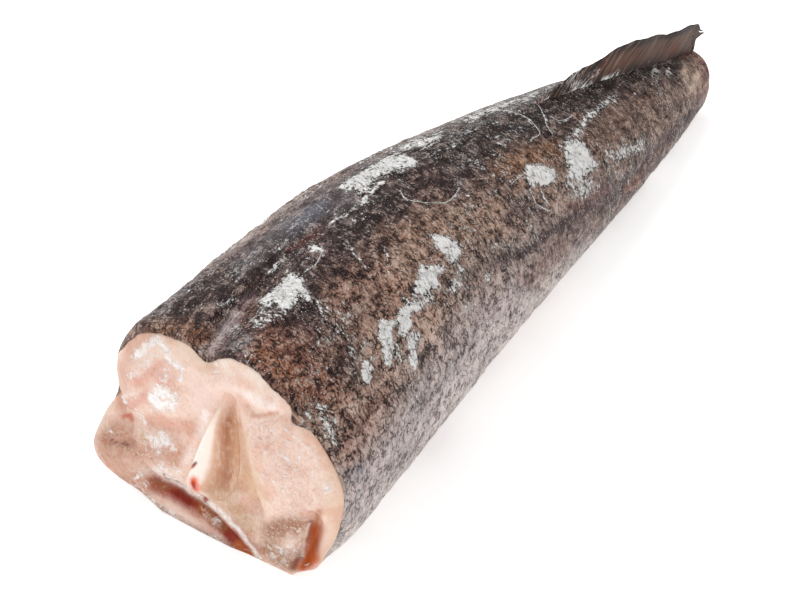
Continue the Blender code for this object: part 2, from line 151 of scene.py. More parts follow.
# Upper edge of the fin: distance from the head cut and height in mm.
FIN_EDGE = ((199.0, 62.0), (208.0, 62.8), (218.0, 63.4), (227.0, 63.2), (238.0, 62.4), (246.0, 62.5),
            (254.0, 62.1), (261.0, 61.4), (268.0, 60.2), (274.0, 59.6), (286.0, 56.3), (296.0, 53.4),
            (303.5, 50.0), (310.0, 49.2), (319.5, 47.3), (326.5, 45.7), (335.5, 42.5), (338.0, 38.6),
            (344.0, 35.2))
FIN_TAIL_UNDERSIDE = ((330.0, 31.0), (336.0, 31.6), (338.5, 33.6), (344.0, 34.0))
FIN_WAVE = 0.7 * MM
FIN_WAVE_LENGTH = 34.0 * MM

# --------------------------------------------------------------- photo's view
CAMERA_TARGET = np.array((-2.077, -63.755, 26.268)) * MM
CAMERA_TURN = 37.64          # degrees round the fish
CAMERA_TIP = 42.43           # degrees above the floor
CAMERA_DISTANCE = 421.28 * MM
LENS = 50.0
SENSOR = 36.0
PHOTO_WIDTH, PHOTO_HEIGHT = 800, 598

TURN, TIP = math.radians(CAMERA_TURN), math.radians(CAMERA_TIP)
VIEW_BACK = np.array((math.sin(TURN) * math.cos(TIP), -math.cos(TURN) * math.cos(TIP), math.sin(TIP)))
VIEW_RIGHT = np.array((math.cos(TURN), math.sin(TURN), 0.0))
VIEW_UP = np.cross(VIEW_BACK, VIEW_RIGHT)
EYE = CAMERA_TARGET + CAMERA_DISTANCE * VIEW_BACK
FOCAL = LENS / SENSOR * PHOTO_WIDTH


# --------------------------------------------------------- the fish's surfaces
def along(values, u):
    """Smooth curve through values at STATIONS, read at the fractions u."""
    stations, values, u = np.array(STATIONS), np.array(values, float), np.asarray(u, float)
    slopes = np.gradient(values, stations)
    k = np.clip(np.searchsorted(stations, u, side="right") - 1, 0, len(stations) - 2)
    span = stations[k + 1] - stations[k]
    t = (u - stations[k]) / span
    start, end = values[k], values[k + 1]
    return ((2 * t**3 - 3 * t**2 + 1) * start + (t**3 - 2 * t**2 + t) * span * slopes[k]
            + (3 * t**2 - 2 * t**3) * end + (t**3 - t**2) * span * slopes[k + 1])


def hump(distance, spread):
    """Bell of height 1."""
    return np.exp(-(distance / spread) ** 2)


def turn_between(angle, other):
    """Difference of two angles in degrees, the short way round."""
    return (angle - other + 180.0) % 360.0 - 180.0


def to_line(points, x, z):
    """Distance to a line through points, and which side: positive above it."""
    nearest = np.full(np.shape(x), np.inf)
    side = np.zeros(np.shape(x))
    for (x0, z0), (x1, z1) in zip(points[:-1], points[1:]):
        run_x, run_z = x1 - x0, z1 - z0
        t = np.clip(((x - x0) * run_x + (z - z0) * run_z) / (run_x**2 + run_z**2), 0, 1)
        off_x, off_z = x - x0 - t * run_x, z - z0 - t * run_z
        distance = np.hypot(off_x, off_z)
        closer = distance < nearest
        nearest = np.where(closer, distance, nearest)
        side = np.where(closer, np.sign(off_z * run_x - off_x * run_z), side)
    return nearest, side


def section(u, angle):
    """Outline of the body at u: x and z at each angle in degrees."""
    width, height = along(HALF_WIDTHS, u), along(HEIGHTS, u)
    level = along(WIDEST_LEVELS, u) * height
    cos, sin = np.cos(np.radians(angle)), np.sin(np.radians(angle))
    power = np.where(sin >= 0, BACK_ROUNDNESS, BELLY_ROUNDNESS)
    rise = np.where(sin >= 0, height - level, level)
    radius = (np.abs(cos / width) ** power + np.abs(sin / rise) ** power) ** (-1 / power)
    distance = u * LENGTH
    for _, place, spread, size, run in RIM_FORMS:
        radius = radius + size * MM * hump(turn_between(angle, place), spread) * hump(distance, run * MM)
    radius = radius + along(CREST_HEIGHTS, u) * hump(turn_between(angle, 90.0), CREST_SPREAD)
    radius = radius + along(FOLD_HEIGHTS, u) * hump(turn_between(angle, FOLD_ANGLE), FOLD_SPREAD)
    radius = radius + along(SHOULDER_HEIGHTS, u) * hump(turn_between(angle, SHOULDER_ANGLE), SHOULDER_SPREAD)
    share = (level + radius * sin) / height
    radius = radius - along(CREASE_DEPTHS, u) * hump(share - along(CREASE_LEVELS, u), CREASE_SPREAD)
    x, z = radius * cos, level + radius * sin
    z = np.maximum(z - BELLY_FLAT, 0.0)
    return x + along(RIDGE_LEANS, u) * (z / height) ** 2 + SWAY * 4 * u * (1 - u), z


def face_relief(x, z):
    """How far the head cut lies behind its plane at x, z; raised is negative."""
    x, z = x / MM, z / MM
    depth = np.zeros(np.shape(x))
    for _, x0, z0, half_width, half_height, rise in FACE_SWELLS:
        depth = depth - rise * MM * np.exp(-((x - x0) / half_width) ** 2 - ((z - z0) / half_height) ** 2)
    for _, points, half_width, drop in FACE_VALLEYS:
        depth = depth + drop * MM * hump(to_line(points, x, z)[0], half_width)
    distance, side = to_line(CAVITY_EDGE, x, z)
    below = np.where(side < 0, distance, 0.0)
    start, end = CAVITY_EDGE[0][0], CAVITY_EDGE[-1][0]
    in_reach = np.clip((x - start) / 5 + 1, 0, 1) * np.clip((end - x) / 5 + 1, 0, 1)
    slot = np.clip(below / CAVITY_LIP, 0, 1) * hump(below - CAVITY_LIP, CAVITY_WIDTH)
    slot = slot * np.clip(z / CAVITY_FLOOR, 0, 1)
    wall = np.clip(below / CAVITY_WIDTH - 1, 0, 1)
    return depth + in_reach * (CAVITY_DEPTH * slot - BELLY_WALL_PROUD * wall) * MM


def lap(angle):
    """How far the skin reaches over the rim of the head cut."""
    return LAP * np.interp(angle, LAP_ANGLES, (0, 1, 1, 0))


def rim_rounding(share, angle):
    """Rounded edge of the head cut; share is 1 at the rim and 0 at the middle."""
    def quarter_round(width):
        t = np.clip((share - 1 + width) / width, 0, 1)
        return 1 - np.sqrt(1 - 0.96 * t**2)
    edge = RIM_ROUND * (1 - hump(turn_between(angle, 270.0), BELLY_SHARP_SPREAD))
    lobe = LOBE_ROUND * hump(turn_between(angle, LOBE_ROUND_ANGLE), LOBE_ROUND_SPREAD)
    return edge * quarter_round(RIM_ROUND_WIDTH) + lobe * quarter_round(3 * RIM_ROUND_WIDTH)


def face_plane(x, z):
    """Y of the head cut before its relief."""
    return FACE_RAKE * (z - 0.5 * HEIGHTS[0]) + FACE_SKEW * x


def tail_lean(z):
    """How far the tail cut lies behind its middle at a height."""
    return TAIL_RAKE * (z - 0.5 * HEIGHTS[-1])


def skin_ring(u, angle):
    """The body's outside at u and angle, as points in fish coordinates."""
    x, z = section(u, angle)
    rim_x, rim_z = section(0.0, angle)
    relief = face_relief(rim_x, rim_z) + rim_rounding(1.0, angle)
    y = u * LENGTH + face_plane(x, z) * (1 - u) ** 2 + tail_lean(z) * u**6
    y = y + relief * np.exp(-u * LENGTH / RIM_FADE) * (1 - u)
    return np.stack([x, y, z], -1)


def face_ring(share, angle):
    """The head cut at share of the way from its middle to its rim."""
    middle = WIDEST_LEVELS[0] * HEIGHTS[0]
    rim_x, rim_z = section(0.0, angle)
    x, z = rim_x * share, middle + (rim_z - middle) * share
    y = face_plane(x, z) + face_relief(x, z) + rim_rounding(share, angle)
    return np.stack([x, y, z], -1)


def skin_surface(u, angle):
    """The body's outside, going on over the head cut where u is below 0."""
    over = face_ring(1 + np.minimum(u, 0) * LENGTH / FACE_REACH, angle)
    return np.where(u[..., None] < 0, over, skin_ring(np.maximum(u, 0), angle))


def tail_ring(share, angle):
    """The domed tail cut at share of the way from its middle to its rim."""
    x, z = section(1.0, angle)
    middle_x, level = RIDGE_LEANS[-1] * 0.2, WIDEST_LEVELS[-1] * HEIGHTS[-1]
    x, z = middle_x + (x - middle_x) * share, level + (z - level) * share
    y = LENGTH + tail_lean(z) + TAIL_DOME * np.sqrt(1 - share**2)
    return np.stack([x, y, z], -1)


def ridge(distances):
    """X and Z of the top of the back at distances from the head cut."""
    steps = np.linspace(0, 1, 240)[:, None]
    x, y, z = skin_ring(steps, np.array([[90.0]]))[:, 0].T
    return np.interp(distances, y, x), np.interp(distances, y, z)


def bone_left_edge(z):
    """X of the backbone's left edge at the head cut."""
    low, high = np.array(BONE_OUTLINE[0]) * MM, np.array(BONE_OUTLINE[8]) * MM
    return low[0] + (high[0] - low[0]) * np.clip((z - low[1]) / (high[1] - low[1]), 0, 1)


def bone_front(x, z):
    """Y of the backbone's broken front, which flattens towards its foot."""
    slope = BONE_SLOPE * np.clip((z / MM - 14) / 14, 0.3, 1)
    return face_plane(x, z) - BONE_PROUD + slope * (x - bone_left_edge(z))


def bone_surface(x, z):
    """Y of the bone's front, level with the flesh along its right side, its foot and its top."""
    front, flesh = bone_front(x, z), face_plane(x, z) + face_relief(x, z) - 0.15 * MM
    right = hump(to_line(BONE_OUTLINE[1:8], x / MM, z / MM)[0], 3.0)
    return front + (flesh - front) * np.maximum(right, np.clip((z / MM - 42) / 14, 0, 1))


# ------------------------------------------------------------- random surfaces
def lumps(points, size, seed=0):
    """Smooth random field from -1 to 1, with lumps of a size in metres."""
    place = np.asarray(points) / size + 17.3 * seed + 500.0
    low = np.floor(place).astype(np.int64)
    t = place - low
    t = t * t * (3 - 2 * t)
    total = np.zeros(place.shape[:-1])
    for corner in itertools.product((0, 1), repeat=3):
        key = ((low + corner) * np.array((374761393, 668265263, 1442695041))).sum(-1) & 0xFFFFFFFF
        key = ((key ^ (key >> 13)) * 1274126177) & 0xFFFFFFFF
        value = ((key ^ (key >> 16)) & 0xFFFF) / 32767.5 - 1
        total += value * np.prod(np.where(np.array(corner), t, 1 - t), axis=-1)
    return total


def crags(points, size, seed=0, octaves=3):
    """Lumps with finer lumps on them."""
    return sum(lumps(points, size / 2**k, seed + k) / 2**k for k in range(octaves)) / 1.6


# -------------------------------------------------------- marks from the photo
def to_pixels(points):
    """Where the photo shows points of the part: x and y in its pixels."""
    seen = points - EYE
    depth = -(seen @ VIEW_BACK)
    x = PHOTO_WIDTH / 2 + FOCAL * (seen @ VIEW_RIGHT) / depth
    y = PHOTO_HEIGHT / 2 - FOCAL * (seen @ VIEW_UP) / depth
    return np.stack([x, y], -1)


def to_path(points, x, y):
    """Distance in pixels to a spot or to a line through points."""
    if len(points) == 1:
        return np.hypot(x - points[0][0], y - points[0][1])
    return to_line(points, x, y)[0]


def loosened(pixels, points, amount):
    """Pixels shifted at random, so that marks get uneven edges."""
    shift = np.stack([crags(points, 6 * MM, 71, 4), crags(points, 6 * MM, 81, 4)], -1)
    return pixels + amount * shift


def painted(pixels, points, half_width):
    """1 on a spot or line of the photo, falling softly to 0 beside it."""
    x, y = pixels[..., 0], pixels[..., 1]
    low, high = np.min(points, axis=0) - 2.5 * half_width, np.max(points, axis=0) + 2.5 * half_width
    near = (x > low[0]) & (x < high[0]) & (y > low[1]) & (y < high[1])
    amount = np.zeros(x.shape)
    amount[near] = np.exp(-(to_path(points, x[near], y[near]) / half_width) ** 2.6)
    return amount


def depth_inside(outline, x, y):
    """How far points lie inside an outline; outside is negative."""
    closed = (*outline, outline[0])
    inside = np.zeros(x.shape, bool)
    for (x0, y0), (x1, y1) in zip(closed[:-1], closed[1:]):
        if y0 != y1:
            inside ^= ((y0 > y) != (y1 > y)) & (x < x0 + (y - y0) * (x1 - x0) / (y1 - y0))
    distance = to_line(closed, x, y)[0]
    return np.where(inside, distance, -distance)


def filled(pixels, outline, soft):
    """1 inside an outline of the photo, 0 outside, over an edge soft pixels wide."""
    x, y = pixels[..., 0], pixels[..., 1]
    low, high = np.min(outline, axis=0) - soft, np.max(outline, axis=0) + soft
    near = (x > low[0]) & (x < high[0]) & (y > low[1]) & (y < high[1])
    amount = np.zeros(x.shape)
    amount[near] = np.clip(0.5 + depth_inside(outline, x[near], y[near]) / (2 * soft), 0, 1)
    return amount


# Frost on the skin: name, cover from 0 to 1, softness and outline in pixels.
FROST_PATCHES = (
    ("blob behind the notch", 1.0, 2.0,
     ((286, 273), (291, 271), (299, 274), (304, 283), (311, 294), (318, 303), (309, 302), (300, 299),
      (292, 306), (285, 312), (276, 305), (262, 308), (258, 302), (268, 292), (277, 284))),
    ("ragged tail of the blob", 0.62, 4.0,
     ((258, 300), (290, 304), (290, 318), (278, 328), (250, 336), (244, 324), (250, 310))),
    ("head of the loop", 1.0, 1.6, ((308, 247), (314, 243), (322, 246), (321, 252), (313, 253))),
    ("speckles in the loop", 0.5, 2.5,
     ((292, 268), (298, 258), (308, 252), (318, 254), (314, 264), (302, 272))),
    ("wedge beside the fold", 0.95, 1.4,
     ((266, 274), (276, 263), (285, 257), (287, 261), (278, 268), (269, 277))),
    ("patch on the ridge", 0.92, 2.0,
     ((334, 190), (343, 183), (352, 176), (374, 164), (390, 154), (406, 151), (419, 158), (415, 166),
      (400, 173), (387, 176), (377, 179), (372, 186), (366, 195), (358, 193), (349, 191))),
    ("bar of the ridge patch", 0.95, 1.2, ((368, 190), (383, 178), (389, 180), (373, 194))),
    ("frost above the ridge patch", 0.95, 2.5,
     ((396, 146), (412, 138), (432, 132), (444, 130), (440, 142), (424, 148), (402, 152))),
    ("streaks down from the back edge", 0.5, 4.0,
     ((440, 130), (480, 116), (500, 122), (476, 140), (446, 146))),
    ("second patch above it", 0.7, 2.5, ((444, 146), (454, 138), (466, 137), (462, 144), (452, 149))),
    ("wisps below the ridge patch", 0.6, 2.5, ((396, 176), (404, 174), (413, 188), (413, 196), (404, 190))),
    ("wisps at the curve's end", 0.6, 2.5, ((450, 176), (456, 176), (463, 188), (458, 194), (452, 188))),
    ("patch on the flank", 1.0, 1.6,
     ((419, 263), (426, 266), (438, 263), (446, 270), (438, 277), (443, 288), (433, 288), (423, 295),
      (412, 291), (414, 283), (417, 277))),
    ("veil under the patch", 0.66, 3.0, ((410, 290), (434, 286), (436, 302), (424, 312), (406, 308))),
    ("knob left of the veil", 0.9, 1.6, ((402, 296), (409, 296), (410, 303), (402, 304))),
    ("left part of the flank frost", 1.0, 1.6,
     ((396, 308), (408, 303), (423, 298), (424, 308), (413, 314), (412, 328), (406, 338), (397, 333),
      (393, 320))),
    ("streak down the flank, upper", 1.0, 1.2,
     ((378, 318), (394, 318), (394, 336), (387, 342), (378, 338))),
    ("streak down the flank, lower", 1.0, 1.2,
     ((381, 336), (395, 337), (394, 356), (388, 370), (381, 362))),
    ("third streak", 0.9, 1.2, ((408, 330), (420, 330), (420, 364), (415, 377), (409, 362))),
    ("fourth streak", 0.92, 1.2, ((362, 360), (371, 358), (370, 380), (364, 391), (361, 380))),
    ("small patch by the fourth streak", 0.8, 1.4, ((345, 347), (356, 346), (356, 355), (348, 357))),
    ("flecks between the streaks", 0.6, 2.5, ((392, 340), (406, 338), (408, 366), (396, 372))),
    ("flecks in front of the streaks", 0.5, 3.0, ((340, 326), (372, 336), (372, 356), (344, 344))),
    ("patch high on mid flank", 0.92, 1.8,
     ((430, 234), (446, 235), (459, 239), (462, 254), (452, 266), (443, 254), (432, 247))),
    ("flecks behind the flank patch", 0.55, 3.0,
     ((444, 262), (466, 262), (470, 290), (450, 304), (444, 284))),
    ("pale spot on mid flank", 0.5, 2.5, ((433, 212), (442, 212), (443, 220), (434, 221))),
    ("spot in the dark area", 0.6, 2.5, ((341, 231), (349, 232), (349, 240), (342, 240))),
    ("spot on the dark flank", 0.6, 2.0, ((383, 251), (390, 252), (391, 260), (384, 259))),
    ("oval below the flank patch", 0.6, 2.5, ((442, 288), (453, 288), (453, 306), (443, 306))),
    ("grains farther back", 0.6, 2.0, ((461, 302), (470, 299), (473, 306), (464, 317))),
    ("grains at mid flank", 0.62, 2.0, ((480, 271), (492, 270), (492, 286), (484, 288))),
    ("column by the crease", 0.5, 2.5, ((492, 248), (500, 249), (500, 270), (493, 268))),
    ("dots by the crease", 0.5, 3.0,
     ((486, 240), (512, 236), (530, 240), (528, 248), (508, 252), (490, 256))),
    ("pale band on the belly", 0.42, 3.0, ((494, 278), (501, 278), (500, 325), (494, 322))),
    ("round patch", 1.0, 1.6,
     ((523, 170), (527, 163), (535, 165), (542, 164), (553, 167), (558, 174), (556, 183), (546, 186),
      (538, 185), (533, 191), (528, 187), (524, 179))),
    ("large patch", 1.0, 2.5,
     ((560, 140), (572, 135), (586, 143), (592, 154), (600, 165), (590, 173), (580, 181), (570, 176),
      (565, 162))),
    ("streaks below the large patch", 0.68, 4.0,
     ((562, 172), (592, 172), (600, 186), (592, 202), (572, 204), (563, 190))),
    ("streak up from the large patch", 0.8, 2.5,
     ((568, 140), (575, 125), (586, 112), (599, 104), (610, 96), (612, 104), (602, 114), (588, 124),
      (580, 136))),
    ("grey triangle", 0.6, 2.5, ((605, 104), (611, 92), (617, 88), (622, 102), (614, 108))),
    ("faint patch towards the tail", 0.72, 4.0,
     ((602, 150), (622, 139), (644, 136), (652, 142), (642, 154), (620, 164), (604, 164))),
    ("left white triangle by the fin", 0.95, 1.5, ((649, 74), (655, 63), (661, 75))),
    ("right white triangle by the fin", 0.95, 1.5, ((665, 76), (669, 66), (674, 75))),
    ("frost along the back edge", 0.85, 3.0,
     ((440, 124), (470, 112), (500, 102), (530, 92), (560, 82), (562, 88), (530, 101), (500, 112),
      (472, 122))),
    ("frost along the front of the back edge", 0.6, 3.0,
     ((352, 160), (380, 146), (410, 134), (440, 124), (446, 132), (416, 144), (386, 156), (360, 170))),
    ("pale wrinkles on the back edge", 0.52, 2.5,
     ((262, 214), (290, 196), (322, 178), (334, 176), (326, 190), (296, 206), (270, 222))),
    ("flecks beside the far ridge", 0.42, 4.0,
     ((440, 152), (480, 146), (486, 170), (460, 180), (444, 170))),
    ("flecks under the round patch", 0.36, 4.0,
     ((500, 186), (556, 190), (560, 214), (520, 224), (498, 210))),
    ("specks on the dark back", 0.42, 5.0,
     ((470, 122), (500, 112), (545, 102), (590, 84), (600, 92), (570, 112), (530, 130), (490, 138))),
    ("patch on mid back", 0.7, 2.0, ((484, 134), (491, 133), (492, 138), (485, 139))),
    ("pale bar on mid back", 0.85, 1.6, ((496, 141), (507, 144), (508, 148), (497, 146))),
    ("veil on mid back", 0.55, 3.0, ((484, 188), (500, 186), (502, 196), (488, 198))),
    ("specks at the fin's base", 0.5, 4.0, ((600, 62), (632, 60), (632, 72), (604, 84))),
    ("drip low on the flank", 0.9, 1.2, ((356, 490), (360, 489), (361, 499), (357, 500))),
    ("frost behind the right rim", 0.68, 3.0, ((310, 400), (328, 402), (342, 440), (336, 466), (324, 440))),
    ("frost behind the shoulder", 0.6, 3.0, ((300, 408), (312, 404), (322, 420), (318, 432), (306, 424))),
    ("grains in front of the blob", 0.6, 3.0, ((214, 332), (232, 318), (248, 318), (244, 334), (226, 342))),
    ("flecks on the left back", 0.3, 4.0,
     ((170, 312), (200, 280), (232, 262), (240, 276), (206, 300), (184, 322))),
)
# Streaks of frost on the skin: name, cover, half width, points in pixels.
FROST_STREAKS = (
    ("pale lines in front", 0.6, 1.6, ((308, 352), (318, 343), (330, 336))),
    ("pale tail of the blob", 0.62, 2.0, ((316, 304), (324, 314), (336, 324))),
    ("thin line low on the flank", 0.7, 1.2, ((413, 384), (414, 398))),
    ("streak at the shoulder", 0.6, 1.8, ((330, 405), (336, 420), (339, 440))),
    ("bar in the dark area", 0.8, 2.2, ((332, 224), (342, 216), (354, 208))),
    ("blobs beyond the bar", 0.8, 3.2, ((361, 203), (366, 196))),
    ("wisps down the dark area", 0.5, 2.2, ((361, 210), (366, 222), (371, 234))),
    ("wisps beside the dark area", 0.6, 2.6, ((386, 248), (388, 262), (390, 274))),
    ("diagonal line on the front flank", 0.62, 1.8, ((346, 242), (356, 256), (368, 272))),
    # Painted highlight on a wrinkle, laid on as frost.
    ("highlight of the wrinkle", 0.6, 1.6, ((298, 201), (306, 199), (314, 198))),
    ("first curved stroke", 0.6, 1.6, ((470, 159), (478, 163), (484, 171))),
    ("second curved stroke", 0.6, 1.6, ((474, 168), (484, 171), (494, 177))),
    ("pale line by the fin", 0.6, 1.6, ((575, 83), (588, 79), (600, 75))),
    ("lower line on the belly", 0.4, 2.0, ((410, 420), (430, 400), (452, 380))),
)

# Frost threads on the skin: name, width in mm, points in pixels.
FROST_THREADS = (
    ("curve below the ridge", 0.5,
     ((400, 190), (403, 197), (408, 200), (418, 202), (432, 203), (448, 203), (455, 195), (460, 188))),
    ("arc over the back", 0.6,
     ((484, 111), (504, 110), (521, 114), (531, 121), (538, 129), (541, 134), (530, 140))),
    ("strand at mid back", 0.45, ((538, 105), (545, 116), (546, 126), (553, 134))),
    ("curl towards the tail", 0.5, ((550, 116), (558, 121), (565, 120), (572, 116))),
    ("edge of the loop", 0.5, ((322, 252), (319, 260), (314, 266), (304, 272))),
    ("line along the back", 0.5, ((562, 84), (575, 79), (590, 76), (603, 74))),
    ("small loop", 0.35, ((217, 303), (219, 306), (224, 305), (228, 300))),
    ("wing of the round patch", 0.5, ((511, 184), (517, 179), (524, 174))),
    ("left tail of the round patch", 0.6, ((530, 188), (533, 198), (538, 206), (550, 211))),
    ("right tail of the round patch", 0.5, ((541, 190), (545, 199), (550, 206))),
    ("line in the notch", 0.4, ((214, 345), (224, 330), (240, 312))),
)

# Colour marks on the skin: name, colour, strength, how much dark marking stays,
# half width in pixels, points in pixels.
SKIN_MARKS = (
    ("brown flank in front", (156, 100, 78), 0.6, 1.0, 30, ((268, 345), (320, 385))),
    ("orange-brown by the rim", (164, 104, 70), 0.6, 1.0, 10, ((262, 352), (285, 372), (300, 392))),
    ("tan flank", (182, 146, 124), 0.6, 0.85, 26, ((400, 250), (430, 232), (480, 222))),
    ("brown front flank", (170, 128, 108), 0.5, 1.0, 20, ((340, 300), (370, 280), (400, 290))),
    ("tan rear flank", (142, 108, 90), 0.6, 0.7, 24, ((612, 125), (660, 100))),
    ("brown behind the left muscle", (128, 84, 58), 0.75, 1.0, 12, ((160, 328), (185, 326), (200, 338))),
    ("dark mottle on the left back", (50, 34, 32), 0.85, 0.9, 18, ((172, 308), (200, 290), (236, 272))),
    ("folded front fin", (82, 74, 78), 0.95, 0.3, 14,
     ((244, 262), (268, 244), (300, 222), (325, 206), (345, 196))),
    ("blue of the folded fin", (92, 94, 104), 0.7, 0.3, 8, ((292, 228), (308, 216), (322, 208))),
    # Painted sheen: pale reflections along the edge of the dark back.
    ("painted rim sheen on the back", (142, 128, 128), 0.6, 0.9, 6,
     ((158, 312), (178, 292), (200, 268), (225, 245), (245, 225), (270, 206), (300, 186), (330, 172))),
    ("painted sheen patch on the back", (160, 146, 144), 0.6, 0.4, 8, ((238, 240), (246, 234))),
    ("dark line beside the fold", (26, 20, 22), 0.98, 0.3, 2.6,
     ((318, 236), (300, 252), (288, 262), (276, 272), (254, 290))),
    ("dark furrow in front of it", (70, 62, 66), 0.7, 0.6, 5, ((252, 292), (232, 312), (220, 328))),
    ("teal patch by the notch", (88, 92, 96), 0.7, 0.7, 8, ((234, 345), (248, 338))),
    ("pale streak up from the notch", (196, 176, 172), 0.85, 0.25, 6, ((210, 352), (222, 334), (238, 314))),
    ("end of the pale streak", (150, 124, 124), 0.8, 0.6, 4, ((238, 314), (254, 297))),
    ("red streak beside the fold", (104, 50, 40), 0.7, 0.7, 3.4, ((290, 250), (300, 242), (318, 232))),
    ("dark patch behind the rim", (50, 36, 40), 0.75, 1.0, 12, ((340, 366), (352, 354), (350, 378))),
    ("dark area under the ridge frost", (38, 28, 28), 0.85, 1.0, 13,
     ((340, 240), (352, 226), (372, 212), (396, 200))),
    ("dark mottle by the ridge", (56, 34, 32), 0.85, 1.0, 14, ((412, 182), (430, 176), (446, 184))),
    ("dark back", (34, 24, 22), 0.9, 1.0, 15, ((440, 152), (480, 132), (520, 122), (560, 104), (590, 92))),
    ("dark brown spots on the flank", (96, 62, 52), 0.6, 1.0, 7, ((380, 228), (386, 242))),
    ("red-brown low flank", (132, 88, 78), 0.6, 0.9, 14, ((350, 448), (364, 422), (380, 398))),
    ("tan band at the back", (142, 98, 68), 0.9, 0.8, 11, ((500, 168), (528, 158), (552, 152))),
    ("grey-brown above the crease", (132, 114, 106), 0.7, 0.9, 13, ((452, 285), (485, 262), (510, 250))),
    ("purple patch", (84, 60, 62), 0.7, 1.0, 11, ((508, 218), (528, 206), (540, 216))),
    # Rear belly: pinkish beige skin darkened by painted shade along its lower edge.
    ("rear belly with painted shade", (132, 98, 86), 0.85, 0.8, 13,
     ((530, 278), (556, 250), (584, 226), (612, 204), (640, 176), (664, 148), (692, 118))),
    ("smooth rear flank", (112, 91, 84), 0.75, 0.6, 15, ((570, 232), (600, 206), (626, 180), (646, 156))),
    ("purple crease", (60, 38, 40), 0.95, 0.6, 5.5, ((520, 256), (545, 236), (562, 223), (592, 205))),
    ("crease towards the tail", (88, 64, 68), 0.85, 0.6, 3,
     ((590, 206), (613, 190), (640, 166), (656, 147), (672, 131), (696, 110))),
    ("red above the crease", (118, 62, 54), 0.8, 0.8, 6, ((572, 206), (590, 198), (606, 188))),
    ("orange spot under the crease", (172, 104, 80), 0.8, 0.5, 4, ((630, 188), (638, 180))),
    ("dark band at the fin's base", (44, 34, 33), 0.9, 0.8, 8,
     ((572, 92), (604, 82), (640, 74), (676, 64), (690, 56))),
    ("red below the fin's end", (96, 34, 28), 0.9, 0.3, 4.5, ((686, 56), (692, 53))),
    ("tail end", (160, 124, 106), 0.8, 0.6, 12, ((694, 64), (700, 80), (700, 94))),
    ("red-brown rim of the tail", (128, 76, 62), 0.7, 0.5, 3.5,
     ((699, 56), (706, 70), (706, 84), (704, 100))),
    ("cream streak near the tail", (230, 200, 176), 0.8, 0.2, 3.6, ((685, 70), (689, 88), (698, 74))),
    ("dark lower edge near the tail", (92, 66, 66), 0.7, 0.6, 3, ((664, 146), (684, 124), (703, 101))),
    ("dark spots low on the belly", (120, 100, 100), 0.8, 1.0, 2.5, ((436, 414), (438, 416))),
    ("blue-grey low flank", (140, 136, 148), 0.6, 0.8, 8, ((354, 478), (362, 470))),
)

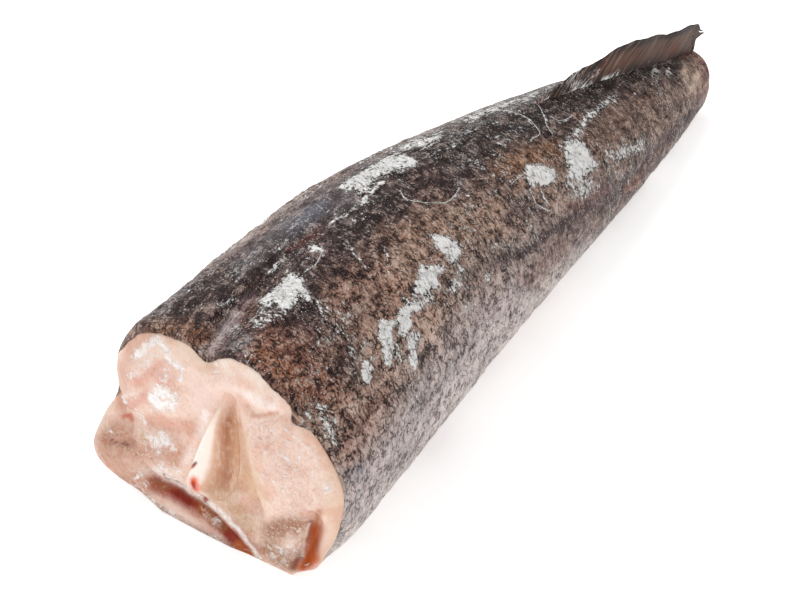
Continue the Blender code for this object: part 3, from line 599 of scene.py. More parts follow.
# Colour marks on the flesh: name, colour, strength, how crumbly it is there,
# half width in pixels, points in pixels.
FLESH_MARKS = (
    ("fibres of the right muscle", (238, 203, 187), 0.7, 0.85, 24, ((262, 432), (285, 465), (296, 500))),
    ("smooth middle", (240, 212, 200), 0.7, 0.15, 16, ((195, 385), (205, 408), (226, 392))),
    ("tan left rim", (214, 168, 146), 0.85, 0.2, 9,
     ((146, 336), (132, 345), (123, 365), (121, 390), (122, 404))),
    ("rose hollow in the left muscle", (222, 166, 148), 0.8, 0.4, 6, ((160, 366), (150, 374), (138, 382))),
    ("rose low on the left muscle", (216, 158, 140), 0.8, 0.3, 7, ((134, 402), (143, 398))),
    ("cream top of the left muscle", (226, 202, 182), 0.9, 0.05, 9,
     ((168, 336), (182, 342), (196, 354), (206, 366))),
    ("rose between the arch's legs", (226, 176, 160), 0.6, 0.6, 8, ((160, 380), (172, 378))),
    ("cream top of the right muscle", (238, 220, 206), 0.95, 0.05, 9,
     ((224, 366), (242, 370), (262, 382), (280, 396), (290, 408))),
    ("pale rim by the shoulder", (236, 232, 234), 0.8, 0.2, 4, ((286, 394), (292, 402))),
    ("translucent right rim", (222, 188, 164), 0.9, 0.15, 7,
     ((306, 428), (320, 440), (330, 458), (338, 476), (342, 496), (340, 520), (332, 546), (322, 556))),
    ("white bank of the ledge", (252, 238, 230), 0.85, 0.3, 5,
     ((240, 390), (250, 396), (262, 403), (280, 410))),
    ("shade under the ledge", (206, 150, 126), 0.8, 0.2, 1.8, ((252, 415), (262, 415), (278, 413))),
    ("warm ground by the groove", (224, 188, 158), 0.7, 0.2, 8, ((236, 425), (243, 450), (252, 474))),
    ("foot of the bone", (208, 174, 148), 0.9, 0.5, 9, ((212, 492), (226, 486), (236, 486))),
    # Painted shade in the groove beside the bone and on the slope that falls into it.
    ("groove", (176, 124, 92), 0.9, 0.1, 2.2, ((226, 409), (229, 418))),
    ("tan and painted shade beside the groove", (214, 174, 148), 0.6, 0.1, 5, ((230, 415), (240, 446), (246, 468))),
    ("white ground by the bone's ridge", (250, 234, 228), 0.8, 0.3, 4.5,
     ((206, 412), (200, 428), (192, 446), (185, 462))),
    ("ground left of the bone", (222, 184, 166), 0.7, 0.3, 9, ((194, 425), (182, 445), (176, 460))),
    ("yellowish patch", (222, 190, 154), 0.6, 0.2, 9, ((246, 478), (260, 496))),
    ("grey-beige patch", (202, 166, 134), 0.8, 0.7, 11, ((220, 496), (238, 512), (250, 528))),
    ("brown crumbly patch", (160, 96, 58), 0.85, 1.0, 11, ((272, 532), (290, 526), (302, 528))),
    ("grey crumbly patch", (168, 116, 80), 0.85, 1.0, 12, ((270, 550), (286, 560))),
    ("beige right flap", (232, 200, 178), 0.8, 0.2, 9, ((330, 478), (333, 500), (328, 528))),
    ("brown top of the split", (184, 124, 84), 0.8, 0.1, 4, ((319, 512), (317, 524))),
    ("orange split", (170, 74, 8), 1.0, 0.05, 8, ((316, 530), (314, 544), (309, 560))),
    # Painted shade on one wall of the split.
    ("painted shade on the split's wall", (118, 50, 16), 0.9, 0.1, 2.2, ((311, 522), (307, 540), (302, 556))),
    ("dark brown wedge", (120, 62, 30), 0.95, 0.4, 4, ((298, 555), (293, 568))),
    ("orange heel", (186, 84, 12), 0.95, 0.1, 6, ((302, 567), (314, 558))),
    ("pale flake beside the split", (228, 200, 180), 0.8, 0.9, 4, ((304, 530), (300, 544), (293, 556))),
    ("white line beside the split", (244, 226, 212), 0.9, 0.2, 1.5, ((309, 524), (306, 538), (302, 556))),
    ("rose under the left muscle", (214, 158, 136), 0.75, 0.4, 8, ((150, 420), (165, 424), (186, 426))),
    ("rose lower left", (204, 150, 126), 0.85, 0.8, 11, ((146, 452), (172, 458))),
    ("left flap", (188, 134, 108), 0.9, 0.75, 15, ((106, 438), (120, 430), (128, 445))),
    ("lower left flap", (192, 142, 116), 0.9, 0.6, 12, ((106, 456), (122, 470), (142, 486))),
    ("pale left edge of the flap", (216, 190, 172), 0.7, 0.2, 5, ((98, 430), (103, 414), (110, 404))),
    ("olive spot", (192, 144, 92), 0.7, 0.7, 3, ((143, 434), (148, 442))),
    # Painted shade in the crease above the left flap.
    ("painted shade in the crease on the flap", (96, 52, 40), 0.75, 0.2, 0.9,
     ((112, 440), (120, 444), (127, 442), (130, 446))),
    ("upright crease", (166, 110, 88), 0.4, 0.3, 1.3, ((133, 424), (132, 434))),
    ("red crease", (190, 92, 66), 0.8, 0.2, 2.6, ((124, 416), (130, 416), (132, 420))),
    # Frozen blood and painted shade in the hollow under the lip.
    ("blood and painted shade in the belly's hollow", (138, 42, 0), 0.98, 0.3, 10,
     ((156, 484), (175, 493), (205, 512), (226, 528), (250, 551))),
    ("tan in the hollow", (150, 86, 44), 0.8, 0.8, 5, ((206, 508), (216, 520), (224, 530))),
    ("dark blot in the hollow", (120, 22, 0), 0.95, 0.3, 5.5, ((178, 495), (188, 502))),
    ("brown beside the blot", (160, 88, 44), 0.9, 0.8, 5, ((202, 510), (213, 519))),
    ("pale skin over the hollow's left end", (160, 98, 66), 0.8, 0.6, 5, ((152, 481), (164, 487))),
    ("crumbs on the hollow", (206, 166, 142), 0.8, 1.0, 2.5, ((206, 516), (216, 524))),
    ("dark spot in the hollow", (140, 32, 10), 0.95, 0.1, 4, ((226, 534), (236, 544))),
    ("orange-brown end of the hollow", (186, 96, 40), 0.95, 0.1, 6, ((240, 546), (258, 560))),
    # The belly wall's own colour, darkened by a painted contact shadow by the floor.
    ("belly wall in painted contact shadow", (124, 78, 56), 0.95, 0.95, 8,
     ((116, 484), (148, 506), (184, 528), (214, 544), (250, 562))),
    ("lip of the hollow", (252, 242, 234), 0.9, 0.85, 2.2,
     ((158, 470), (166, 478), (177, 483), (190, 492), (207, 501), (221, 512), (237, 529), (249, 544),
      (260, 558))),
    ("red on the lip", (150, 24, 18), 0.95, 0.2, 1.8, ((205, 498), (207, 500))),
    ("small red on the lip", (140, 40, 36), 0.9, 0.2, 1.6, ((164, 474),)),
)
# Colour marks on the bone, listed in the same way.
BONE_MARKS = (
    ("white lower end", (250, 238, 228), 0.9, 0.8, 5, ((188, 478), (194, 492), (204, 499))),
    ("dark red mark", (120, 18, 10), 1.0, 0.2, 1.7, ((192.5, 467), (196, 463))),
    ("orange streak under it", (222, 132, 88), 0.8, 0.2, 1.8, ((188, 471), (192, 467))),
    ("orange ring", (230, 88, 30), 1.0, 0.1, 4.8, ((194, 481), (196, 490))),
    ("red in the ring", (166, 22, 4), 1.0, 0.1, 1.9, ((193, 483), (195, 488))),
)

# White rime on the flesh: name, cover, softness and outline in pixels.
RIME_PATCHES = (
    ("patch low on the left muscle", 0.95, 3.0,
     ((153, 386), (165, 382), (176, 391), (180, 402), (176, 410), (163, 412), (152, 409), (149, 399))),
    ("small patch by the left rim", 0.7, 3.0, ((125, 392), (134, 386), (143, 389), (140, 396), (130, 397))),
    ("crumbs under the left muscle", 0.72, 3.0,
     ((140, 430), (156, 430), (176, 438), (180, 450), (160, 454), (146, 444))),
    ("crumbs over the lip", 0.7, 3.0,
     ((154, 464), (166, 462), (180, 470), (182, 482), (170, 480), (160, 474))),
    ("frosted patch by the hollow", 0.7, 4.0, ((130, 472), (142, 470), (150, 480), (144, 488), (132, 484))),
    ("notch between the muscles", 0.7, 4.0, ((200, 352), (210, 350), (222, 358), (222, 372), (210, 368))),
    ("frost on the right flap", 0.5, 3.0, ((316, 480), (328, 474), (336, 490), (332, 503), (320, 498))),
    ("crumbs at the foot", 0.6, 5.0,
     ((266, 542), (286, 538), (300, 540), (296, 556), (282, 568), (268, 556))),
    ("spot in the hollow", 0.75, 2.5, ((210, 518), (218, 518), (220, 526), (212, 527))),
    ("shoulder rim", 0.7, 2.0, ((283, 394), (290, 393), (296, 402), (292, 406))),
)
# Streaks of rime on the flesh: name, cover, half width, points in pixels.
RIME_STREAKS = (
    ("arch's left leg", 0.72, 7.0, ((136, 356), (144, 347), (153, 341))),
    ("arch's right leg", 0.72, 5.0, ((154, 338), (163, 347), (172, 357), (180, 368), (182, 377))),
    ("diagonal under the arch", 0.5, 7.0, ((131, 376), (142, 368), (152, 358))),
    ("streak down to the patch", 0.5, 6.0, ((166, 368), (164, 388))),
    ("left edge of the muscle", 0.6, 4.0, ((124, 395), (126, 404), (129, 411))),
    ("foot of the left muscle", 0.6, 4.0, ((134, 412), (143, 417), (146, 422))),
    ("flap's crumbs", 0.6, 3.0, ((108, 428), (112, 434))),
    ("lower edge of the hollow", 0.5, 3.5, ((140, 492), (158, 504), (184, 524), (206, 536), (232, 549))),
    ("specks along the lip", 0.5, 2.2, ((150, 466), (162, 472), (176, 481), (188, 488))),
    ("fibre across the right muscle", 0.55, 1.6, ((262, 448), (276, 452), (290, 462), (298, 476))),
    ("fibre low on the right muscle", 0.5, 1.6, ((252, 470), (268, 478), (284, 492))),
    ("curl under the ledge", 0.55, 1.4, ((284, 440), (296, 450), (300, 462), (296, 472))),
    ("wavy line on the right muscle", 0.5, 2.4, ((258, 424), (266, 428), (280, 430))),
    ("fibre to the right rim", 0.55, 1.8, ((285, 428), (298, 440), (310, 452), (320, 470))),
    ("curl by the right rim", 0.6, 1.6, ((306, 462), (314, 466), (312, 476), (318, 482))),
)


# ------------------------------------------------------------ colours and nodes
def srgb(red, green, blue):
    """Linear colour from the numbers of a picture, 0 to 255."""
    shares = (red / 255, green / 255, blue / 255)
    return tuple(v / 12.92 if v < 0.0405 else ((v + 0.055) / 1.055) ** 2.4 for v in shares)


def blended(base, colour, amount):
    """Colours moved towards another one by an amount at each point."""
    return base + (np.array(colour) - base) * amount[..., None]


def add_node(tree, kind, inputs=None, **settings):
    """A node with its settings; an input is a value or another node's socket."""
    made = tree.nodes.new(kind)
    for name, value in settings.items():
        setattr(made, name, value)
    for key, value in (inputs or {}).items():
        if isinstance(value, bpy.types.NodeSocket):
            tree.links.new(value, made.inputs[key])
        else:
            made.inputs[key].default_value = value
    return made


def maths(tree, operation, *values):
    """Result of a maths node."""
    inputs = dict(enumerate(values))
    return add_node(tree, "ShaderNodeMath", inputs, operation=operation).outputs[0]


def times(tree, first, second):
    """Product of two values."""
    return maths(tree, "MULTIPLY", first, second)


def weighted(tree, *pairs, offset=0.0):
    """Sum of values times their weights, and an offset."""
    total = offset
    for value, weight in pairs:
        total = maths(tree, "MULTIPLY_ADD", value, weight, total)
    return total


def ramp(tree, value, low, high, start=0.0, end=1.0):
    """Value from low to high, as start to end with soft ends."""
    inputs = {"Value": value, "From Min": low, "From Max": high, "To Min": start, "To Max": end}
    return add_node(tree, "ShaderNodeMapRange", inputs, interpolation_type="SMOOTHSTEP").outputs["Result"]


def mixed(tree, amount, first, second, blend_type="MIX"):
    """Mix of two colours, each a socket or linear numbers."""
    first, second = ((*c, 1.0) if isinstance(c, tuple) else c for c in (first, second))
    inputs = {0: amount, 6: first, 7: second}
    return add_node(tree, "ShaderNodeMix", inputs, data_type="RGBA", blend_type=blend_type).outputs[2]


def brightened(tree, colour, gamma):
    """Colour made lighter, but no greyer, by a gamma below 1."""
    return add_node(tree, "ShaderNodeGamma", {"Color": colour, "Gamma": gamma}).outputs[0]


def stretched(tree, vector, across, down, depth=1.0):
    """Coordinates divided by lengths, for patterns of that size."""
    scale = (1 / across, 1 / down, 1 / depth)
    return add_node(tree, "ShaderNodeMapping", {"Vector": vector, "Scale": scale}).outputs[0]


def noise(tree, place, sizes, detail=2.0, roughness=0.5, distortion=0.0, output="Fac"):
    """Noise with lumps of the given sizes."""
    inputs = {"Vector": stretched(tree, place, *sizes), "Scale": 1.0, "Detail": detail,
              "Roughness": roughness, "Distortion": distortion}
    return add_node(tree, "ShaderNodeTexNoise", inputs).outputs[output]


def attribute(tree, name, output="Fac"):
    """A value or a colour stored on the mesh."""
    return add_node(tree, "ShaderNodeAttribute", attribute_name=name).outputs[output]


def new_material(name, **values):
    """A material with a Principled shader; values are its sockets' settings."""
    material = bpy.data.materials.new(name)
    material.use_nodes = True
    tree = material.node_tree
    shader = tree.nodes["Principled BSDF"]
    for key, value in values.items():
        shader.inputs[key.replace("_", " ")].default_value = value
    return material, tree, shader


def finished(tree, shader, colour, height, distance, strength):
    """Connect a colour, and a relief of a depth in metres."""
    tree.links.new(colour, shader.inputs["Base Color"])
    inputs = {"Height": height, "Distance": distance, "Strength": strength}
    tree.links.new(add_node(tree, "ShaderNodeBump", inputs).outputs[0], shader.inputs["Normal"])


# ------------------------------------------------------------------- materials
def frosted(tree, place, cover, colour, grain):
    """Colour with frost over it where cover is high, how frosted it is, and its crystals."""
    crystal = noise(tree, place, (1.2, 1.3), 4.0, 0.7, 0.6)
    soft = noise(tree, place, (4.5, 4.0), 3.0, 0.6, 0.3)
    amount = weighted(tree, (cover, 1.3), (crystal, 2.0), (soft, 0.8), (grain, 1.6))
    covered = times(tree, ramp(tree, amount, 2.78, 3.12), ramp(tree, cover, 0.03, 0.15))
    rime = mixed(tree, ramp(tree, soft, 0.36, 0.56), srgb(236, 233, 230), srgb(*FROST_COLOUR))
    rime = mixed(tree, ramp(tree, crystal, 0.42, 0.33, 0.0, 0.7), rime, srgb(136, 118, 110))
    return mixed(tree, times(tree, covered, 0.97), colour, rime), covered, crystal


def roughened(tree, shader, covered, bare, frosty):
    """Roughness from bare to frosty, with the frost."""
    tree.links.new(ramp(tree, covered, 0.0, 1.0, bare, frosty), shader.inputs["Roughness"])


def skin_cracks(tree, place, marking):
    """Cracks along the edges of bent cells, which break off here and there."""
    wobble = noise(tree, place, (3.0, 3.0), 3.0, output="Color")
    bent = add_node(tree, "ShaderNodeVectorMath", {0: wobble, 1: (7.0, 7.0, 0.0), 2: place},
                    operation="MULTIPLY_ADD").outputs[0]
    cells = add_node(tree, "ShaderNodeTexVoronoi", {"Vector": stretched(tree, bent, 4.2, 2.0), "Scale": 1.0},
                     feature="DISTANCE_TO_EDGE", voronoi_dimensions="2D").outputs["Distance"]
    thin = noise(tree, place, (2.2, 2.0), 3.0, 0.6)
    cracks = ramp(tree, weighted(tree, (cells, 1.0), (thin, 0.3)), 0.17, 0.27, 1.0, 0.0)
    broken = ramp(tree, noise(tree, place, (6.0, 5.0)), 0.36, 0.5)
    return times(tree, cracks, times(tree, broken, marking))


def skin_material(settings):
    """Wet frozen skin: dark strokes round the body, streaks on the back, cracks, pale specks that are partly
    painted glints, and frost.
    """
    if "wet_frosted_skin" in bpy.data.materials:
        return bpy.data.materials["wet_frosted_skin"]
    material, tree, shader = new_material(
        "wet_frosted_skin", Coat_Weight=settings.skin_wetness, Coat_Roughness=0.2, Coat_IOR=1.33,
        Specular_IOR_Level=0.12)
    place = add_node(tree, "ShaderNodeUVMap", uv_map="grain").outputs[0]
    marking, back, cover = (attribute(tree, name) for name in ("marking", "back", "frost"))
    tint = attribute(tree, "tint", "Color")

    strokes = noise(tree, place, (2.7, 1.25), 3.0, 0.6, 0.9)
    wisps = noise(tree, place, (1.3, 9.0), 3.0, 0.6, 0.4)
    grain = add_node(tree, "ShaderNodeMix", {0: back, 2: strokes, 3: wisps}).outputs[0]
    fine = noise(tree, place, (0.8, 0.75), 2.0, 0.6)
    clouds = noise(tree, place, (4.5, 5.5), 4.0, 0.64, 0.8)
    depth = weighted(tree, (grain, 0.6), (fine, 0.4), (clouds, 0.85), offset=-0.425)
    cracks = skin_cracks(tree, place, marking)
    dark = times(tree, ramp(tree, depth, 0.51, 0.41, 0.0, 0.85), marking)
    deepest = times(tree, ramp(tree, depth, 0.45, 0.37), marking)
    # Pale specks: partly frost flecks, partly painted glints of the wet skin.
    specks = ramp(tree, noise(tree, place, (0.75, 0.85), 2.0, 0.6), 0.59, 0.68)
    specks = times(tree, specks, ramp(tree, clouds, 0.42, 0.6, 0.2, 1.0))

    lighter = mixed(tree, 0.3, brightened(tree, tint, 0.66), srgb(206, 180, 164))
    colour = mixed(tree, ramp(tree, depth, 0.52, 0.64), tint, lighter)
    colour = mixed(tree, dark, colour, mixed(tree, 0.6, tint, srgb(*STROKE_COLOUR)))
    for amount, strength, over in ((deepest, 0.9, DEEPEST_COLOUR), (cracks, 0.8, DEEPEST_COLOUR),
                                   (specks, 0.7, SPECK_AND_GLINT_COLOUR)):
        colour = mixed(tree, times(tree, amount, strength), colour, srgb(*over))
    uncracked = weighted(tree, (cracks, -0.25), (grain, 1.0))
    colour, covered, crystal = frosted(tree, place, cover, colour, uncracked)

    height = times(tree, depth, weighted(tree, (marking, 1.0), offset=0.2))
    height = weighted(tree, (cracks, -0.4), (covered, crystal), offset=height)
    roughened(tree, shader, covered, 0.45, 0.8)
    finished(tree, shader, colour, height, 1.0 * MM, 1.0)
    return material


def flesh_material():
    """Raw frozen flesh: translucent, with fine fibres, pale curls, crumbs and white rime."""
    material, tree, shader = new_material(
        "frozen_flesh", Coat_Weight=0.12, Coat_Roughness=0.14, Specular_IOR_Level=0.12,
        Subsurface_Weight=0.07, Subsurface_Radius=(1.0, 0.45, 0.28), Subsurface_Scale=1.5 * MM)
    place = add_node(tree, "ShaderNodeTexCoord").outputs["Object"]
    tint = attribute(tree, "tint", "Color")
    cover, crumbly = attribute(tree, "frost"), attribute(tree, "crumbly")
    fibres = noise(tree, place, (1.1 * MM, 3.4 * MM, 2.6 * MM), 4.0, 0.62, 1.2)
    clouds = noise(tree, place, (8.0 * MM,) * 3, 3.0)
    grain = noise(tree, place, (1.2 * MM,) * 3, 4.0, 0.65)
    rime = noise(tree, place, (3.0 * MM,) * 3, 5.0, 0.68, 1.0)
    curls = maths(tree, "SUBTRACT", noise(tree, place, (4.5 * MM,) * 3, 3.0, 0.6, 2.0), 0.5)
    curls = ramp(tree, maths(tree, "ABSOLUTE", curls), 0.006, 0.04, 1.0, 0.0)
    crumbs = ramp(tree, noise(tree, place, (1.3 * MM,) * 3, 2.0, 0.55, 0.6), 0.5, 0.6)
    crumbs = times(tree, crumbs, ramp(tree, crumbly, 0.5, 0.95))

    lively = weighted(tree, (crumbly, 0.75), offset=0.18)
    texture = weighted(tree, (fibres, 0.55), (grain, 0.45))
    bright = times(tree, ramp(tree, texture, 0.5, 0.64), lively)
    dull = times(tree, ramp(tree, texture, 0.5, 0.36), lively)
    rosy = mixed(tree, 1.0, tint, srgb(248, 214, 200), "MULTIPLY")
    colour = mixed(tree, ramp(tree, clouds, 0.46, 0.64, 0.0, 0.5), tint, rosy)
    duller = mixed(tree, 1.0, colour, srgb(214, 160, 134), "MULTIPLY")
    colour = mixed(tree, times(tree, dull, 0.6), colour, duller)
    colour = mixed(tree, bright, colour, brightened(tree, colour, 0.68))
    curls = times(tree, curls, times(tree, lively, ramp(tree, clouds, 0.42, 0.55)))
    palest = brightened(tree, colour, 0.5)
    colour = mixed(tree, times(tree, curls, 0.7), colour, palest)
    colour = mixed(tree, times(tree, crumbs, 0.8), colour, mixed(tree, 0.45, palest, srgb(250, 232, 218)))
    covered = ramp(tree, weighted(tree, (cover, 1.0), (rime, 2.6), offset=-1.3), 0.3, 0.95)
    covered = times(tree, covered, ramp(tree, cover, 0.02, 0.3))
    colour = mixed(tree, times(tree, covered, 0.92), colour, srgb(255, 250, 248))

    crystals = times(tree, covered, grain)
    height = weighted(tree, (texture, lively), (crystals, 0.6), (curls, 0.3), (crumbs, 0.9))
    roughened(tree, shader, covered, 0.38, 0.65)
    finished(tree, shader, colour, height, 0.7 * MM, 0.8)
    return material


def bone_material():
    """Pale gristly bone."""
    material, tree, shader = new_material(
        "gristly_bone", Roughness=0.42, Coat_Weight=0.2, Coat_Roughness=0.2, Specular_IOR_Level=0.2,
        Subsurface_Weight=0.15, Subsurface_Radius=(1.0, 0.6, 0.4), Subsurface_Scale=2.0 * MM)
    place = add_node(tree, "ShaderNodeTexCoord").outputs["Object"]
    grain = noise(tree, place, (1.4 * MM, 1.4 * MM, 4.0 * MM), 4.0, 0.6, 0.5)
    tint = attribute(tree, "tint", "Color")
    colour = mixed(tree, ramp(tree, grain, 0.45, 0.7, 0.0, 0.25), tint, srgb(250, 236, 224))
    finished(tree, shader, colour, grain, 0.4 * MM, 0.5)
    return material


def fin_material():
    """Thin dried web between rays, brown with red."""
    material, tree, shader = new_material(
        "fin_web", Coat_Weight=0.06, Coat_Roughness=0.3, Specular_IOR_Level=0.12)
    place = add_node(tree, "ShaderNodeUVMap", uv_map="grain").outputs[0]
    streaks = noise(tree, place, (3.4, 18.0), 4.0, 0.7, 0.5)
    clouds = noise(tree, place, (12.0, 9.0), 3.0, 0.6)
    colour, cover = attribute(tree, "tint", "Color"), attribute(tree, "frost")
    for value, low, high, strength, over in ((streaks, 0.5, 0.38, 0.8, (42, 28, 24)),
                                             (streaks, 0.53, 0.64, 0.55, (160, 130, 108)),
                                             (clouds, 0.5, 0.66, 0.5, (104, 54, 40))):
        colour = mixed(tree, ramp(tree, value, low, high, 0.0, strength), colour, srgb(*over))
    colour, covered, _ = frosted(tree, place, cover, colour, clouds)
    roughened(tree, shader, covered, 0.5, 0.8)
    finished(tree, shader, colour, streaks, 0.6 * MM, 0.7)
    return material


def frost_material():
    """Rough white rime."""
    if "rime_frost" in bpy.data.materials:
        return bpy.data.materials["rime_frost"]
    material, tree, shader = new_material(
        "rime_frost", Roughness=0.62, Subsurface_Weight=0.3, Subsurface_Radius=(1.0, 1.0, 1.0),
        Subsurface_Scale=1.0 * MM)
    place = add_node(tree, "ShaderNodeTexCoord").outputs["Object"]
    grain = noise(tree, place, (0.6 * MM,) * 3, 2.0, 0.6)
    colour = mixed(tree, grain, srgb(200, 198, 197), srgb(*FROST_COLOUR))
    finished(tree, shader, colour, grain, 0.3 * MM, 0.5)
    return material


# ---------------------------------------------------------------------- meshes
def mesh_object(name, points, faces, material, smooth=True):
    """A mesh object in part coordinates, at the origin."""
    mesh = bpy.data.meshes.new(name)
    mesh.from_pydata(np.asarray(points).tolist(), [], faces)
    mesh.materials.append(material)
    if smooth:
        mesh.shade_smooth()
    made = bpy.data.objects.new(name, mesh)
    bpy.context.scene.collection.objects.link(made)
    return made


def ring_faces(rows, columns):
    """Quads between rings of vertices, facing out where the rings run anticlockwise towards +Y."""
    ring = np.arange(rows * columns).reshape(rows, columns)
    after = np.roll(ring, -1, 1)
    return np.stack([ring[:-1], ring[1:], after[1:], after[:-1]], -1).reshape(-1, 4).tolist()


def closed_tube(rings):
    """Points and faces of rings of points, with a fan over each end."""
    rows, columns = rings.shape[:2]
    points = np.concatenate([rings.reshape(-1, 3), rings[:1].mean(1), rings[-1:].mean(1)])
    faces = ring_faces(rows, columns)
    head, tail, last = rows * columns, rows * columns + 1, (rows - 1) * columns
    for j in range(columns):
        n = (j + 1) % columns
        faces.append((head, j, n))
        faces.append((tail, last + n, last + j))
    return points, faces


def set_attribute(mesh, name, values, kind="FLOAT"):
    """A value or a colour for each point of a mesh."""
    made = mesh.attributes.new(name, kind, "POINT")
    if kind == "FLOAT":
        made.data.foreach_set("value", np.asarray(values, np.float32).ravel())
    else:
        values = np.concatenate([values, np.ones((*values.shape[:-1], 1))], -1)
        made.data.foreach_set("color", values.astype(np.float32).ravel())


def set_grain(mesh, places):
    """UV map "grain" in mm from a place for each vertex."""
    corners = np.zeros(len(mesh.loops), np.int32)
    mesh.loops.foreach_get("vertex_index", corners)
    layer = mesh.uv_layers.new(name="grain")
    layer.data.foreach_set("uv", places[corners].astype(np.float32).ravel())


def grid_normals(points):
    """Outward normals of rings of points."""
    down = np.gradient(points, axis=0)
    around = np.roll(points, -1, 1) - np.roll(points, 1, 1)
    normal = np.cross(down, around)
    return normal / (np.linalg.norm(normal, axis=-1, keepdims=True) + 1e-12)


# ------------------------------------------------------------------------ skin
SKIN_ROWS = 400
SKIN_THICKNESS = 0.45 * MM
INNER_COLUMNS = 30
SEAM = 114.0                 # the right and left skins meet at this angle, by the ridge
# Sides of the skin: name, number of points round it, and how close they lie at angles in degrees.
SKIN_SIDES = (
    ("right_skin", 216, ((-90, 0.4), (-62, 0.4), (-50, 1.0), (SEAM, 1.0))),
    ("left_skin", 196, ((SEAM, 1.0), (165, 1.0), (215, 0.8), (240, 0.4), (270, 0.4))),
)
# Top of the pale belly, as a share of the height at STATIONS.
PALE_LEVELS = (0.60, 0.65, 0.675, 0.61, 0.47, 0.39, 0.38)
STROKE_COLOUR = (62, 36, 32)
DEEPEST_COLOUR = (26, 15, 16)
# Colour of the pale specks, which are partly painted glints.
SPECK_AND_GLINT_COLOUR = (218, 204, 194)
FROST_COLOUR = (252, 251, 249)
# Skin's colour from the belly (0) over the top of the pale belly (1) to the ridge (2).
SKIN_STOPS = (0.0, 0.5, 0.85, 1.0, 1.25, 1.6, 1.85, 1.97)
SKIN_COLOURS = ((216, 204, 197), (208, 194, 190), (196, 179, 176), (182, 160, 152), (182, 150, 134),
                (154, 122, 106), (98, 74, 68), (64, 53, 53))
# How much dark marking the skin has at the same stops.
MARKING_SHARES = (0.5, 0.62, 0.75, 0.85, 1.0, 1.0, 1.0, 1.0)
# Share of a thin random veil of frost at stops from the belly to the ridge.
VEIL_STOPS = (0.3, 0.8, 1.3, 1.8)
VEIL_SHARES = (0.6, 1.0, 0.9, 1.0)
# Share of its light that the skin keeps at STATIONS.
REAR_SHADES = (1.0, 1.0, 1.0, 0.9, 0.7, 0.76, 0.84)
PATCH_SOFTNESS = 2.6         # pixels for each unit of softness in the tables


def side_angles(columns, fineness):
    """Angles from a side's first to its last, close together where most shows."""
    stops, shares = zip(*fineness)
    fine = np.linspace(stops[0], stops[-1], 2001)
    total = np.cumsum(np.interp(fine, stops, shares))
    total = (total - total[0]) / (total[-1] - total[0])
    return np.interp(np.linspace(0, 1, columns), total, fine)


def outward(u, angle):
    """Outward direction of the skin's smooth surface."""
    around = skin_surface(u, angle + 0.5) - skin_surface(u, angle - 0.5)
    down = skin_surface(u + 0.002, angle) - skin_surface(u - 0.002, angle)
    normal = np.cross(down, around)
    return normal / np.linalg.norm(normal, axis=-1, keepdims=True)


def skin_places(u, angle):
    """Distance from the ridge round the skin and from the head cut, in mm."""
    grid = np.linspace(-90, 270, 181)
    ring = skin_ring(u.mean(1, keepdims=True), grid[None, :])
    steps = np.linalg.norm(np.diff(ring, axis=1), axis=-1)
    run = np.concatenate([np.zeros((len(u), 1)), np.cumsum(steps, 1)], 1) / MM
    run = run - run[:, 90:91]
    around = np.stack([np.interp(angle[0], grid, row) for row in run])
    return np.stack([around, u * LENGTH / MM], -1)


def facing(points, normals):
    """1 where the photo's camera sees a surface, 0 where it faces away."""
    toward = EYE - points
    toward = toward / np.linalg.norm(toward, axis=-1, keepdims=True)
    return np.clip((toward * normals).sum(-1) / 0.12, 0, 1)


def marked(pixels, tint, kept, marks):
    """Colour and one more value at pixels, with a table of marks laid over them."""
    for _, colour, strength, value, half_width, points in marks:
        amount = strength * painted(pixels, points, half_width)
        tint = blended(tint, srgb(*colour), amount)
        kept = kept + (value - kept) * amount
    return tint, kept


def frost_cover(pixels, patches, streaks):
    """Frost from 0 to 1 at pixels, from a table of patches and one of streaks."""
    cover = np.zeros(pixels.shape[:-1])
    for _, strength, soft, outline in patches:
        cover = np.maximum(cover, strength * filled(pixels, outline, PATCH_SOFTNESS * soft))
    for _, strength, half_width, points in streaks:
        cover = np.maximum(cover, strength * painted(pixels, points, half_width))
    return cover


def skin_fields(outer, normal, u, angle):
    """Colour, dark marking, frost cover and along-body streaks of the skin."""
    points = outer - MIDDLE
    seen = facing(points, normal)
    pixels = loosened(to_pixels(points), outer, 3.5)
    other = loosened(to_pixels(skin_ring(u, 180.0 - angle) - MIDDLE), outer, 12.0)
    level, pale = outer[..., 2] / along(HEIGHTS, u), along(PALE_LEVELS, u)
    tone = np.where(level < pale, level / pale, 1 + (level - pale) / (1 - pale))
    tone = tone + 0.09 * crags(outer, 18 * MM, 3)
    colours = np.array([srgb(*colour) for colour in SKIN_COLOURS])
    tint = np.stack([np.interp(tone, SKIN_STOPS, colours[:, k]) for k in range(3)], -1)
    marking = np.interp(tone, SKIN_STOPS, MARKING_SHARES)
    own_tint, own_marking = marked(pixels, tint, marking, SKIN_MARKS)
    other_tint, other_marking = marked(other, tint, marking, SKIN_MARKS)
    tint = other_tint + (own_tint - other_tint) * seen[..., None]
    marking = other_marking + (own_marking - other_marking) * seen
    tint = tint * (along(REAR_SHADES, u) * (1 + 0.4 * crags(outer, 9 * MM, 91, 4)))[..., None]
    under_threads = tuple((name, 0.6, 1.5, path) for name, _, path in FROST_THREADS)
    streaks = FROST_STREAKS + under_threads
    cover = frost_cover(pixels, FROST_PATCHES, streaks)
    cover = np.where(seen > 0.5, cover, frost_cover(other, FROST_PATCHES, streaks) * (level > 0.15))
    veil = np.clip(1.1 * crags(outer * (1.6, 1.0, 1.0), 14 * MM, 61, 4) + 0.13, 0, 0.5)
    cover = np.maximum(cover, veil * np.interp(tone, VEIL_STOPS, VEIL_SHARES) * (1 - 0.2 * seen))
    return tint, marking, cover, hump(turn_between(angle, 104.0), 20.0) + 0 * u


